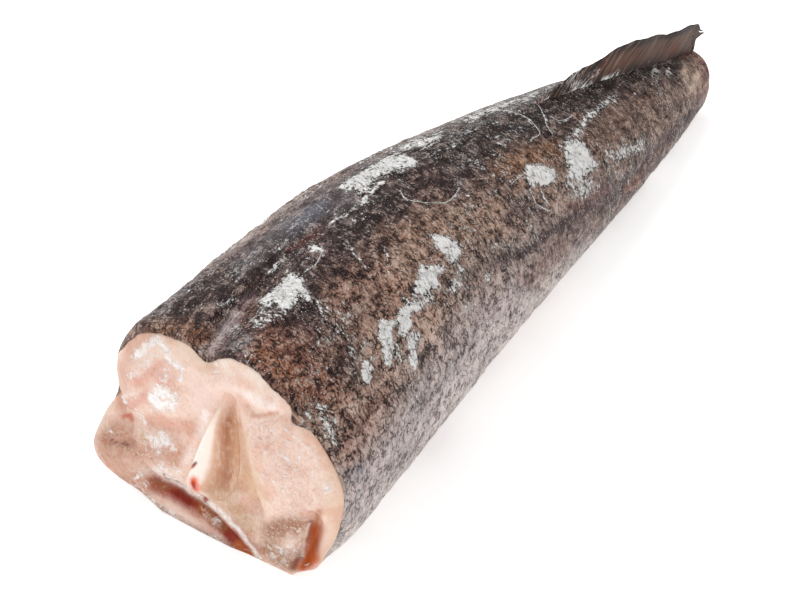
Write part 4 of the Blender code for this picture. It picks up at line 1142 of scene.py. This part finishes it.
def skin_relief(outer, places, cover, u, angle):
    """How far the skin rises over its smooth surface."""
    flat = np.concatenate([places * (0.4, 1.0), np.zeros((*places.shape[:-1], 1))], -1) * MM
    rise = 0.32 * crags(outer, 24 * MM, 1) + 0.18 * crags(outer, 7 * MM, 2) + 0.32 * crags(flat, 3.4 * MM, 8)
    wrinkled = hump(turn_between(angle, 128.0), 26.0) * np.clip((0.62 - u) / 0.2, 0, 1)
    rise = rise + 0.45 * wrinkled * crags(flat * (2.5, 0.22, 1.0), 2.6 * MM, 17)
    rise = rise - 0.5 * np.clip(1 - np.abs(crags(flat, 9 * MM, 14)) / 0.12, 0, 1)
    depth = u * LENGTH
    rise = rise * np.clip(depth / (2 * MM), 0, 1) * np.clip((LENGTH - depth) / (2 * MM), 0, 1)
    rise = rise + np.clip(cover - 0.4, 0, 1) * (0.5 + 0.6 * crags(outer, 2.2 * MM, 7))
    return rise * np.clip(outer[..., 2] / (4 * MM), 0, 1) * MM


def skin_rows(angle):
    """Fractions of LENGTH from the skin's ragged front edge to the tail cut."""
    ragged = 0.4 + 0.4 * crags(np.stack([angle[0] / 4] * 3, -1), 1.0, 5)
    ragged = ragged + 1.8 * hump(turn_between(angle[0], 310.0), 14.0)
    start = (ragged * MM - lap(angle[0])) / LENGTH
    return start + (1 - 0.5 * MM / LENGTH - start) * np.linspace(0, 1, SKIN_ROWS)[:, None] ** 1.06


def skin_inside(angle):
    """Inner face of the skin, deep in the flesh between the cuts and deepest by the notch."""
    u = skin_rows(angle)
    notch = hump(turn_between(angle, 94.0), 16.0) * np.clip(1 - u / 0.2, 0, 1)
    early = 0.03 * lap(angle % 360) / LAP
    sunk = np.clip(np.sin(math.pi * (u + early)), 0, 1) ** 0.25
    depth = SKIN_THICKNESS + (1.8 + 2.5 * notch) * MM * sunk
    inner = skin_surface(u, angle) - outward(u, angle) * depth[..., None]
    inner[..., 2] = np.maximum(inner[..., 2], SKIN_THICKNESS)
    return inner


def skin_ends(columns):
    """Faces that close both ends between the outer points and the fewer inner ones."""
    last = (SKIN_ROWS - 1) * (columns + INNER_COLUMNS)
    share = 1 - np.arange(columns) / (columns - 1)
    partner = (np.round(share * (INNER_COLUMNS - 1)).astype(int) + columns).tolist()
    faces = []
    for j, (here, after) in enumerate(zip(partner[:-1], partner[1:])):
        faces.append((here, j, j + 1))
        faces.append((last + j + 1, last + j, last + here))
        if after != here:
            faces.append((here, j + 1, after))
            faces.append((last + after, last + j + 1, last + here))
    return faces


def make_skin(settings, name, columns, fineness):
    """One side of the skin, a closed piece whose inner face lies in the flesh."""
    angle = side_angles(columns, fineness)[None, :]
    u = skin_rows(angle)
    outer, normal = skin_surface(u, angle), outward(u, angle)
    outer = outer + normal * (0.1 * lap(angle) * np.clip(2 - u * LENGTH / MM, 0, 1))[..., None]
    places = skin_places(u, angle)
    tint, marking, cover, back = skin_fields(outer, normal, u, angle)
    outer = outer + normal * skin_relief(outer, places, cover, u, angle)[..., None]
    outer[..., 2] = np.maximum(outer[..., 2], 0.0)
    inner = skin_inside(np.linspace(angle[0, -1], angle[0, 0], INNER_COLUMNS)[None, :])

    points = np.concatenate([outer, inner], 1).reshape(-1, 3) - MIDDLE
    faces = ring_faces(SKIN_ROWS, columns + INNER_COLUMNS) + skin_ends(columns)
    skin = mesh_object(name, points, faces, skin_material(settings))
    skin.data.set_sharp_from_angle(angle=math.radians(75.0))

    def whole(values, rest):
        """Values of the outer points, and rest at the inner ones."""
        inside = np.broadcast_to(rest, (SKIN_ROWS, INNER_COLUMNS, *values.shape[2:]))
        return np.concatenate([values, inside], 1).reshape(-1, *values.shape[2:])

    set_attribute(skin.data, "tint", whole(tint, srgb(226, 184, 164)), "FLOAT_COLOR")
    for label, values in (("marking", marking), ("frost", cover), ("back", back)):
        set_attribute(skin.data, label, whole(values, 0.0))
    set_grain(skin.data, whole(places, np.zeros(2)))
    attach(skin, "root")
    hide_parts("body")


# ----------------------------------------------------------------------- flesh
FLESH_COLUMNS = 440
FACE_ROWS = 112
SIDE_ROWS = 12
TAIL_ROWS = 40
BONE_BED = 1.6 * MM          # the flesh lies this far behind the bone's front
TAIL_COLOUR = (186, 132, 112)
TAIL_PALE_COLOUR = (214, 188, 162)


def flesh_face(settings, angle):
    """The head cut's rings, with their colour, their frost and how crumbly they are."""
    share = np.linspace(0, 1, FACE_ROWS + 1)[1:, None] ** 0.85
    under = np.clip((lap(angle % 360) - (1 - share) * FACE_REACH) / (0.8 * MM), 0, 1)
    face = face_ring(share - 0.012 * under, angle)
    x, z = face[..., 0], face[..., 2]
    pixels = loosened(to_pixels(face - MIDDLE), face, 2.0)
    cover = frost_cover(loosened(pixels, face + 0.02, 3.0), RIME_PATCHES, RIME_STREAKS)
    base = np.broadcast_to(np.array(settings.flesh_colour), face.shape)
    tint, crumbly = marked(pixels, base, np.full(x.shape, 0.35), FLESH_MARKS)
    rough = 0.3 * crags(face, 7 * MM, 11) + (0.08 + 0.4 * crumbly) * crags(face, 1.7 * MM, 12)
    rough = rough + cover * (0.15 + 0.25 * crags(face, 1.5 * MM, 13))
    away = np.clip((1 - share) / 0.05, 0, 1)
    face[..., 1] -= (rough * away - 0.4 * under) * MM
    inside_bone = np.clip(depth_inside(BONE_OUTLINE, x / MM, z / MM) - 0.2, 0, 1)
    bed = bone_surface(x, z) + BONE_BED
    face[..., 1] += (np.maximum(face[..., 1], bed) - face[..., 1]) * inside_bone
    return face, tint, cover, crumbly


def flesh_side(angle):
    """The flesh's rings under the skin, close together by both cuts."""
    edge = np.array([0.35, 0.9, 1.6, 4.0, 9.0])[:, None] * MM / LENGTH
    edge_sink = np.array([0.05, 0.6, 0.7, 1.0, 2.0])[:, None] * MM
    between = np.linspace(0, 1, SIDE_ROWS + 2)[1:-1, None]
    u = np.concatenate([edge, between, 1 - edge[::-1]])
    sink = np.concatenate([edge_sink, np.full((SIDE_ROWS, 1), 3.0 * MM), edge_sink[::-1]])
    side = skin_ring(u, angle)
    side = side - grid_normals(side) * (sink + 0.2 * lap(angle % 360) * hump(u, 0.01))[..., None]
    side[..., 2] = np.maximum(side[..., 2], sink)
    return side


def flesh_tail(angle):
    """The tail cut's rings, from its rim to its middle."""
    share = np.linspace(1, 0, TAIL_ROWS + 1)[:-1, None] ** 0.7
    tail = tail_ring(share, angle)
    rough = 0.3 * crags(tail, 5 * MM, 21) + 0.12 * crags(tail, 1.5 * MM, 22)
    tail[..., 1] += rough * MM * (1 - share)
    return tail


def make_flesh(settings):
    """The flesh, with its head cut and its tail cut."""
    angle = (np.arange(FLESH_COLUMNS) * 360.0 / FLESH_COLUMNS - 90.0)[None, :]
    face, tint, cover, crumbly = flesh_face(settings, angle)
    points, faces = closed_tube(np.concatenate([face, flesh_side(angle), flesh_tail(angle)]))
    points = points - MIDDLE
    flesh = mesh_object("flesh", points, faces, flesh_material())

    tail_tint = np.broadcast_to(srgb(*TAIL_COLOUR), points.shape)
    all_tint = blended(tail_tint, srgb(*TAIL_PALE_COLOUR), np.clip(lumps(points, 5 * MM, 31), 0, 1))
    all_tint[:cover.size] = tint.reshape(-1, 3)
    all_tint[-2] = tint[0, 0]    # the middle of the head cut
    rest = len(points) - cover.size
    set_attribute(flesh.data, "tint", all_tint, "FLOAT_COLOR")
    set_attribute(flesh.data, "frost", np.append(cover, np.zeros(rest)))
    set_attribute(flesh.data, "crumbly", np.append(crumbly, np.full(rest, 0.4)))
    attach(flesh, "root")
    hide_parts("body")


# -------------------------------------------------------------------- backbone
BONE_COLUMNS = 240
BONE_ROWS = 60
BONE_STEPS = 14


def rounded(outline, passes=3):
    """Outline with its corners cut off smoothly."""
    points = np.array(outline, float)
    for _ in range(passes):
        after = np.roll(points, -1, 0)
        points = np.stack([0.75 * points + 0.25 * after, 0.25 * points + 0.75 * after], 1).reshape(-1, 2)
    return points


def even_outline(points, count):
    """Points spread evenly along a closed outline."""
    closed = np.concatenate([points, points[:1]])
    run = np.concatenate([[0], np.cumsum(np.hypot(*np.diff(closed, axis=0).T))])
    place = np.arange(count) / count * run[-1]
    return np.stack([np.interp(place, run, closed[:, k]) for k in range(2)], -1)


# The bone's colour across its front, from its left edge (0) to its right (1): white at the edge, then tan
# with painted shade down its slope, darkest where the groove's shade is painted onto it, lighter at the rim.
BONE_SIDE_STOPS = (0.0, 0.25, 0.37, 0.54, 0.7, 0.8, 0.92, 1.0)
BONE_SIDE_COLOURS_AND_SHADE = ((255, 252, 250), (255, 244, 238), (220, 182, 158), (194, 142, 112), (172, 116, 82),
                     (182, 128, 94), (206, 162, 132), (214, 174, 146))
BONE_FOOT_COLOUR = (206, 170, 144)
BONE_TOP_COLOUR = (238, 208, 192)


def bone_tint(x, z):
    """The bone's colour: white at its left edge, tan with painted shade of its slope and of the groove to
    the right, like flesh at its foot.
    """
    outline = np.array(BONE_OUTLINE)
    right = np.interp(z / MM, outline[2:8, 1], outline[2:8, 0]) * MM
    across = np.clip((x - bone_left_edge(z)) / (right - bone_left_edge(z)), 0, 1)
    colours = np.array([srgb(*colour) for colour in BONE_SIDE_COLOURS_AND_SHADE])
    tint = np.stack([np.interp(across, BONE_SIDE_STOPS, colours[:, k]) for k in range(3)], -1)
    foot = np.clip((27 - z / MM) / 9, 0, 1) * np.clip((across - 0.35) / 0.3, 0, 1)
    tint = blended(tint, srgb(*BONE_FOOT_COLOUR), foot)
    top = np.clip((z / MM - 46) / 12, 0, 0.85) * np.clip((0.6 - across) / 0.3, 0, 1)
    return blended(tint, srgb(*BONE_TOP_COLOUR), np.maximum(top, np.clip((z / MM - 50) / 7, 0, 0.9)))


def bone_head(outline):
    """Rings of the bone's front, from its middle to its edge."""
    middle = np.array(BONE_HEAD_MIDDLE)
    share = np.linspace(0, 1, BONE_ROWS + 1)[1:, None, None]
    x, z = np.moveaxis((middle + (outline - middle) * share) * MM, -1, 0)
    lip = 0.5 * hump(x - bone_left_edge(z), 1.6 * MM) * np.clip((56 - z / MM) / 12, 0, 1)
    front = np.stack([x, bone_surface(x, z) - lip * MM, z], -1)
    front[..., 1] -= (0.25 * crags(front, 3 * MM, 41) + 0.15 * crags(front, 1.1 * MM, 42)) * MM
    front[-1, :, 1] += 0.3 * MM
    return front


def bone_ring(outline, t):
    """The bone's edge at t of the way to the tail cut."""
    head, tail = np.array(BONE_HEAD_MIDDLE), np.array(BONE_TAIL_MIDDLE)
    size = 1 + (BONE_TAIL_SIZE - 1) * t
    x, z = ((outline - head) * size + head + (tail - head) * t).T * MM
    y = bone_front(x, z) * (1 - t) + (LENGTH + TAIL_DOME) * t
    return np.stack([x + SWAY * 4 * t * (1 - t), y, z], -1)


def make_backbone(settings):
    """The backbone, from its broken front to the tail cut."""
    outline = even_outline(rounded(BONE_OUTLINE), BONE_COLUMNS)
    behind = [bone_ring(outline, k / BONE_STEPS) for k in range(1, BONE_STEPS + 1)]
    points, faces = closed_tube(np.concatenate([bone_head(outline), behind]))
    bone = mesh_object("backbone_piece", points - MIDDLE, faces, bone_material())
    base = bone_tint(points[:, 0], points[:, 2]) * np.array(settings.bone_colour)
    pixels = loosened(to_pixels(points - MIDDLE), points, 1.0)
    tint, _ = marked(pixels, base, 0.0, BONE_MARKS)
    set_attribute(bone.data, "tint", tint, "FLOAT_COLOR")
    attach(bone, "root")
    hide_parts("backbone")


# ------------------------------------------------------------------------- fin
FIN_COLUMNS = 260
FIN_ROWS = 26
FIN_RAY_SLANT = 1.8          # rays lean back this far for their height
# How far back the fin's end reaches at each share of its height, in mm.
FIN_END = ((0.0, 331.0), (0.35, 333.0), (0.5, 343.5), (0.62, 338.0), (0.72, 335.5), (0.85, 341.0),
           (1.0, 339.0))
FIN_RED = (104, 48, 34)
FIN_END_COLOUR = (82, 66, 60)
FIN_FOOT_COLOUR = (46, 36, 35)
FIN_TIP_COLOUR = (34, 26, 26)


def fin_height(points, distance):
    """Height of a line of the fin at distances from the head cut."""
    places, heights = np.array(points).T * MM
    return np.interp(distance, places, heights)


def fin_rings(share):
    """Rings round the thin web: up its right side and down its left one."""
    ends = np.interp(share, *zip(*FIN_END)) * MM
    first = FIN_EDGE[0][0] * MM
    distance = first + (ends - first) * np.linspace(0, 1, FIN_COLUMNS)[:, None]
    ridge_x, ridge_z = ridge(distance)
    over_tail = distance > FIN_TAIL_UNDERSIDE[0][0] * MM
    low = np.where(over_tail, fin_height(FIN_TAIL_UNDERSIDE, distance), ridge_z - 0.6 * MM)
    edge = np.stack([distance, 0 * distance, 0 * distance], -1)
    high = np.maximum(fin_height(FIN_EDGE, distance), low + 0.8 * MM) + 0.5 * MM * crags(edge, 5 * MM, 51)
    z = low + (high - low) * share
    middle = ridge_x + FIN_WAVE * share * np.sin(2 * math.pi * distance / FIN_WAVE_LENGTH)
    slant = distance - FIN_RAY_SLANT * (z - low)
    rays = 0.3 * MM * crags(np.stack([slant, 0 * slant, 0 * slant], -1), 3.4 * MM, 55)
    half = (1.1 * (1 - share) ** 1.5 + 0.275) * MM + rays * (1 - share)
    right, left = (np.stack([middle + side, distance, z], -1) for side in (half, -half))
    return np.concatenate([right, left[:, ::-1]], 1)


def fin_looks(base, points, height):
    """Colour and frost of the fin: red and frosty in front, dark along its edge."""
    y = points[:, 1]
    front = np.clip((290 * MM - y) / (50 * MM), 0, 1)
    near_back = np.clip((256 * MM - y) / (22 * MM), 0, 1)
    red = np.clip(0.6 + lumps(points, 9 * MM, 53), 0, 0.8) * front * height
    tint = blended(np.broadcast_to(base, points.shape), srgb(*FIN_RED), red)
    tint = blended(tint, srgb(*FIN_END_COLOUR), np.clip((y - 318 * MM) / (14 * MM), 0, 0.8))
    foot = np.maximum(near_back, np.clip(1.3 - height / 0.3, 0, 1)) * 0.9
    tint = blended(tint, srgb(*FIN_FOOT_COLOUR), foot)
    tint = blended(tint, srgb(*FIN_TIP_COLOUR), np.clip((height - 0.74 + 0.1 * front) / 0.16, 0, 0.95))
    frosty = np.clip(1 - height / 0.4, 0, 1) * np.clip(front + 0.3, 0, 1)
    return tint, np.maximum(0.66 * frosty, 0.4 * near_back)


def make_fin(settings):
    """The rear back fin, a thin wavy web that stands on the ridge."""
    share = np.linspace(0, 1, FIN_ROWS)
    points = fin_rings(share[None, :]).reshape(-1, 3)
    width = 2 * FIN_ROWS
    faces = ring_faces(FIN_COLUMNS, width)
    last = (FIN_COLUMNS - 1) * width
    for r in range(FIN_ROWS - 1):
        front_end = (r, r + 1, width - 2 - r, width - 1 - r)
        faces.append(front_end)
        faces.append([last + v for v in reversed(front_end)])
    fin = mesh_object("rear_back_fin", points - MIDDLE, faces, fin_material())
    height = np.tile([*share, *share[::-1]], FIN_COLUMNS)
    tint, cover = fin_looks(np.array(settings.fin_colour), points, height)
    set_attribute(fin.data, "tint", tint, "FLOAT_COLOR")
    set_attribute(fin.data, "frost", cover)
    _, y, z = points.T / MM
    set_grain(fin.data, np.stack([y - FIN_RAY_SLANT * z, z], -1))
    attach(fin, "root")
    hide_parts("dorsal_fin")


# ----------------------------------------------------------------------- frost
def nodes_tree(name, sockets):
    """A Geometry Nodes tree with a geometry input and output and named inputs."""
    tree = bpy.data.node_groups.new(name, "GeometryNodeTree")
    tree.interface.new_socket("Geometry", in_out="INPUT", socket_type="NodeSocketGeometry")
    for label, kind in sockets:
        tree.interface.new_socket(label, in_out="INPUT", socket_type=kind)
    tree.interface.new_socket("Geometry", in_out="OUTPUT", socket_type="NodeSocketGeometry")
    entry = add_node(tree, "NodeGroupInput")
    leave = add_node(tree, "NodeGroupOutput")
    return tree, entry, leave


def applied(holder, tree, values, name):
    """Result of a tree on an object, as a plain mesh object; the modifier goes."""
    modifier = holder.modifiers.new(tree.name, "NODES")
    modifier.node_group = tree
    for item in tree.interface.items_tree:
        if item.in_out == "INPUT" and item.name in values:
            modifier[item.identifier] = values[item.name]
    bpy.context.view_layer.update()
    depsgraph = bpy.context.evaluated_depsgraph_get()
    mesh = bpy.data.meshes.new_from_object(holder.evaluated_get(depsgraph), depsgraph=depsgraph)
    holder.modifiers.remove(modifier)
    mesh.name = name
    made = bpy.data.objects.new(name, mesh)
    bpy.context.scene.collection.objects.link(made)
    return made


def sent_out(tree, geometry, entry, leave):
    """Give a tree's result its material and send it out."""
    real = add_node(tree, "GeometryNodeRealizeInstances", {"Geometry": geometry}).outputs[0]
    inputs = {"Geometry": real, "Material": entry.outputs["Material"]}
    tree.links.new(add_node(tree, "GeometryNodeSetMaterial", inputs).outputs[0], leave.inputs[0])


def grain_tree():
    """Crystals scattered where the frost attribute is high."""
    tree, entry, leave = nodes_tree("frost_grains", (
        ("Density", "NodeSocketFloat"), ("Least size", "NodeSocketFloat"),
        ("Greatest size", "NodeSocketFloat"), ("Seed", "NodeSocketInt"), ("Material", "NodeSocketMaterial")))
    cover = add_node(tree, "GeometryNodeInputNamedAttribute", {"Name": "frost"}).outputs["Attribute"]
    density = times(tree, entry.outputs["Density"], maths(tree, "POWER", cover, 1.5))
    spread = add_node(tree, "GeometryNodeDistributePointsOnFaces", {
        "Mesh": entry.outputs["Geometry"], "Density": density, "Seed": entry.outputs["Seed"]})
    crystal = add_node(tree, "GeometryNodeMeshIcoSphere", {"Radius": 1.0, "Subdivisions": 1})
    size = add_node(tree, "FunctionNodeRandomValue", {
        "Min": entry.outputs["Least size"], "Max": entry.outputs["Greatest size"],
        "Seed": entry.outputs["Seed"]}, data_type="FLOAT")
    turn = add_node(tree, "FunctionNodeRandomValue", {0: (0.0, 0.0, 0.0), 1: (6.28, 6.28, 6.28)},
                    data_type="FLOAT_VECTOR")
    placed = add_node(tree, "GeometryNodeInstanceOnPoints", {
        "Points": spread.outputs["Points"], "Instance": crystal.outputs["Mesh"],
        "Rotation": turn.outputs[0], "Scale": size.outputs[1]})
    sent_out(tree, placed.outputs[0], entry, leave)
    return tree


def thread_tree():
    """Uneven threads of frost along curves."""
    tree, entry, leave = nodes_tree("frost_threads", (
        ("Step", "NodeSocketFloat"), ("Material", "NodeSocketMaterial")))
    curve = add_node(tree, "GeometryNodeMeshToCurve", {"Mesh": entry.outputs["Geometry"]})
    even = add_node(tree, "GeometryNodeResampleCurve", {
        "Curve": curve.outputs[0], "Length": entry.outputs["Step"]}, mode="LENGTH")
    width = add_node(tree, "GeometryNodeInputNamedAttribute", {"Name": "width"}).outputs["Attribute"]
    rough = add_node(tree, "ShaderNodeTexNoise", {"Scale": 1400.0, "Detail": 2.0}).outputs["Fac"]
    radius = times(tree, width, ramp(tree, rough, 0.3, 0.7, 0.25, 0.75))
    sized = add_node(tree, "GeometryNodeSetCurveRadius", {"Curve": even.outputs[0], "Radius": radius})
    profile = add_node(tree, "GeometryNodeCurvePrimitiveCircle", {"Resolution": 6, "Radius": 1.0})
    tube = add_node(tree, "GeometryNodeCurveToMesh", {
        "Curve": sized.outputs[0], "Profile Curve": profile.outputs["Curve"], "Fill Caps": True})
    if "Scale" in tube.inputs:   # this version takes the radius here
        tree.links.new(radius, tube.inputs["Scale"])
    sent_out(tree, tube.outputs[0], entry, leave)
    return tree


def seen_through(surface, pixel):
    """Where the photo's camera meets a surface through a pixel."""
    x, y = (pixel[0] - PHOTO_WIDTH / 2) / FOCAL, (PHOTO_HEIGHT / 2 - pixel[1]) / FOCAL
    direction = Vector(x * VIEW_RIGHT + y * VIEW_UP - VIEW_BACK).normalized()
    place, normal, _, _ = surface.ray_cast(Vector(EYE), direction)
    return place, normal


def walked(points, step):
    """Points every step pixels along a line with its corners rounded."""
    points = np.array(points, float)
    for _ in range(2):
        cut = [0.75 * points[:-1] + 0.25 * points[1:], 0.25 * points[:-1] + 0.75 * points[1:]]
        points = np.concatenate([points[:1], np.stack(cut, 1).reshape(-1, 2), points[-1:]])
    run = np.concatenate([[0], np.cumsum(np.hypot(*np.diff(points, axis=0).T))])
    place = np.linspace(0, run[-1], max(2, round(run[-1] / step) + 1))
    return np.stack([np.interp(place, run, points[:, k]) for k in range(2)], -1)


def skin_tree():
    """Faces of both skins, for casting rays."""
    points, faces = [], []
    for name, _, _ in SKIN_SIDES:
        mesh = bpy.data.objects[name].data
        start = len(points)
        points.extend(vertex.co for vertex in mesh.vertices)
        faces.extend([start + v for v in face.vertices] for face in mesh.polygons)
    return BVHTree.FromPolygons(points, faces)


def make_threads():
    """Threads of frost on the skin, where the photo shows them."""
    surface = skin_tree()
    points, edges, widths = [], [], []
    for _, width, line in FROST_THREADS:
        before = None
        for pixel in walked(line, 1.0):
            shift = [crags(np.array([*pixel, 0.0]), 3.0, seed, 2) for seed in (75, 85)]
            place, normal = seen_through(surface, pixel + 0.8 * np.array(shift))
            if place is None:
                before = None
                continue
            points.append(place + normal * (0.05 * width * MM))
            widths.append(0.45 * width * MM)
            if before is not None:
                edges.append((before, len(points) - 1))
            before = len(points) - 1
    mesh = bpy.data.meshes.new("thread_lines")
    mesh.from_pydata(points, edges, [])
    set_attribute(mesh, "width", widths)
    lines = bpy.data.objects.new("thread_lines", mesh)
    bpy.context.scene.collection.objects.link(lines)
    values = {"Step": 0.35 * MM, "Material": frost_material()}
    threads = applied(lines, thread_tree(), values, "frost_threads")
    bpy.data.objects.remove(lines, do_unlink=True)
    return threads


def make_frost(settings):
    """Grains on the skin, crumbs on the flesh, and threads on the skin."""
    bpy.context.view_layer.update()
    made = []
    tree = grain_tree()
    for name, source, density in (("right_frost_grains", "right_skin", settings.skin_grains),
                                  ("left_frost_grains", "left_skin", settings.skin_grains),
                                  ("flesh_ice_crumbs", "flesh", settings.flesh_grains)):
        values = {"Density": density, "Least size": settings.grain_least,
                  "Greatest size": settings.grain_greatest, "Seed": settings.seed,
                  "Material": frost_material()}
        made.append(applied(bpy.data.objects[source], tree, values, name))
    made.append(make_threads())
    for piece in made:
        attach(piece, "root")


# ----------------------------------------------------------------------- stage
def area_light(name, place, size, power):
    """A square lamp that shines at the fish."""
    light = bpy.data.lights.new(name, "AREA")
    light.size = size
    light.energy = power
    made = bpy.data.objects.new(name, light)
    made.location = place
    direction = Vector((0, 0, 0.03)) - made.location
    made.rotation_euler = direction.to_track_quat("-Z", "Y").to_euler()
    bpy.context.scene.collection.objects.link(made)


def make_stage(settings):
    """The photo's camera, a pale floor that glows, a white room and two lamps."""
    scene = bpy.context.scene
    camera = bpy.data.cameras.new("camera")
    camera.lens = LENS
    camera.sensor_width = SENSOR
    camera.sensor_fit = "HORIZONTAL"
    camera.clip_start = 0.01
    holder = bpy.data.objects.new("camera", camera)
    holder.location = EYE
    holder.rotation_euler = (math.radians(90.0 - CAMERA_TIP), 0.0, math.radians(CAMERA_TURN))
    scene.collection.objects.link(holder)
    scene.camera = holder

    material, _, _ = new_material(
        "pale_floor", Roughness=0.9, Base_Color=(0.93, 0.93, 0.93, 1.0), Specular_IOR_Level=0.0,
        Emission_Color=(1.0, 1.0, 1.0, 1.0), Emission_Strength=settings.floor_glow)
    half, level = 3.0, -0.2 * MM
    corners = [(-half, -half, level), (half, -half, level), (half, half, level), (-half, half, level)]
    floor = mesh_object("floor", corners, [(0, 1, 2, 3)], material, smooth=False)
    world = bpy.data.worlds.new("studio")
    world.use_nodes = True
    ground = world.node_tree.nodes["Background"]
    ground.inputs["Color"].default_value = (1.0, 1.0, 1.0, 1.0)
    ground.inputs["Strength"].default_value = settings.room_light
    scene.world = world
    area_light("key", (-0.45, 0.15, 0.75), 0.5, settings.key_light)
    area_light("front", (0.25, -0.9, 0.5), 0.6, settings.front_light)
    scene.view_settings.view_transform = "Standard"


# ------------------------------------------------------------------ the add-on
def colour_property(label, text, default):
    """A colour in the panel, given as a picture's numbers."""
    return FloatVectorProperty(name=label, description=text, subtype="COLOR", size=3, min=0, max=1,
                               default=srgb(*default))


def amount_property(label, text, default, **more):
    """An amount in the panel, from 0 up."""
    return FloatProperty(name=label, description=text, default=default, min=0, **more)


class HakeSettings(bpy.types.PropertyGroup):
    """Colours and amounts of the hake's finishes."""

    flesh_colour: colour_property("Flesh", "Cut flesh", (240, 212, 196))
    bone_colour: colour_property("Bone", "Colour laid over the broken bone", (252, 246, 240))
    fin_colour: colour_property("Fin", "Web of the rear back fin", (98, 72, 58))
    skin_wetness: amount_property("Wetness", "Ice coat on the skin", 0.07, max=1)
    skin_grains: amount_property("Skin grains", "Frost grains a square metre", 1.0e6)
    flesh_grains: amount_property("Flesh crumbs", "Ice crumbs a square metre", 0.8e6)
    grain_least: amount_property("Least grain", "Radius of the smallest grain", 0.06 * MM, unit="LENGTH")
    grain_greatest: amount_property("Greatest grain", "Radius of the largest grain", 0.2 * MM, unit="LENGTH")
    seed: IntProperty(name="Seed", description="Which random frost grains", default=3)
    floor_glow: amount_property("Floor glow", "Light from the pale floor", 0.44)
    room_light: amount_property("Room light", "Strength of the white room", 0.68)
    key_light: amount_property("Key light", "Lamp above the back", 4.0, unit="POWER")
    front_light: amount_property("Front light", "Lamp before the cut", 1.2, unit="POWER")


class HakeSkin(bpy.types.Operator):
    """Wrap the body in its dark frosted skin."""

    bl_idname = "hake.skin"
    bl_label = "Skin"

    def execute(self, context):
        for side in SKIN_SIDES:
            make_skin(context.scene.hake, *side)
        return {"FINISHED"}


class HakeFlesh(bpy.types.Operator):
    """Make the flesh with its head cut and tail cut."""

    bl_idname = "hake.flesh"
    bl_label = "Flesh"

    def execute(self, context):
        make_flesh(context.scene.hake)
        return {"FINISHED"}


class HakeBackbone(bpy.types.Operator):
    """Make the backbone that shows at the head cut."""

    bl_idname = "hake.backbone"
    bl_label = "Backbone"

    def execute(self, context):
        make_backbone(context.scene.hake)
        return {"FINISHED"}


class HakeFin(bpy.types.Operator):
    """Make the rear back fin."""

    bl_idname = "hake.fin"
    bl_label = "Rear back fin"

    def execute(self, context):
        make_fin(context.scene.hake)
        return {"FINISHED"}


class HakeFrost(bpy.types.Operator):
    """Scatter frost grains and threads over the skin and the cut."""

    bl_idname = "hake.frost"
    bl_label = "Frost"

    def execute(self, context):
        make_frost(context.scene.hake)
        return {"FINISHED"}


class HakeStage(bpy.types.Operator):
    """Set up the pale floor, the soft light and the camera."""

    bl_idname = "hake.stage"
    bl_label = "Stage"

    def execute(self, context):
        make_stage(context.scene.hake)
        return {"FINISHED"}


class HakePanel(bpy.types.Panel):
    """The hake's settings and pieces."""

    bl_idname = "VIEW3D_PT_hake"
    bl_label = "Frozen headless hake"
    bl_space_type = "VIEW_3D"
    bl_region_type = "UI"
    bl_category = "Hake"

    def draw(self, context):
        for name in HakeSettings.__annotations__:
            self.layout.prop(context.scene.hake, name)
        for operator in OPERATORS:
            self.layout.operator(operator.bl_idname)


OPERATORS = (HakeSkin, HakeFlesh, HakeBackbone, HakeFin, HakeFrost, HakeStage)


def register():
    for item in (HakeSettings, *OPERATORS, HakePanel):
        bpy.utils.register_class(item)
    bpy.types.Scene.hake = PointerProperty(type=HakeSettings)


def unregister():
    del bpy.types.Scene.hake
    for item in (HakePanel, *reversed(OPERATORS), HakeSettings):
        bpy.utils.unregister_class(item)


def main():
    register()
    bpy.ops.hake.skin()
    bpy.ops.hake.flesh()
    bpy.ops.hake.backbone()
    bpy.ops.hake.fin()
    bpy.ops.hake.frost()
    bpy.ops.hake.stage()


if __name__ == "__main__":
    main()
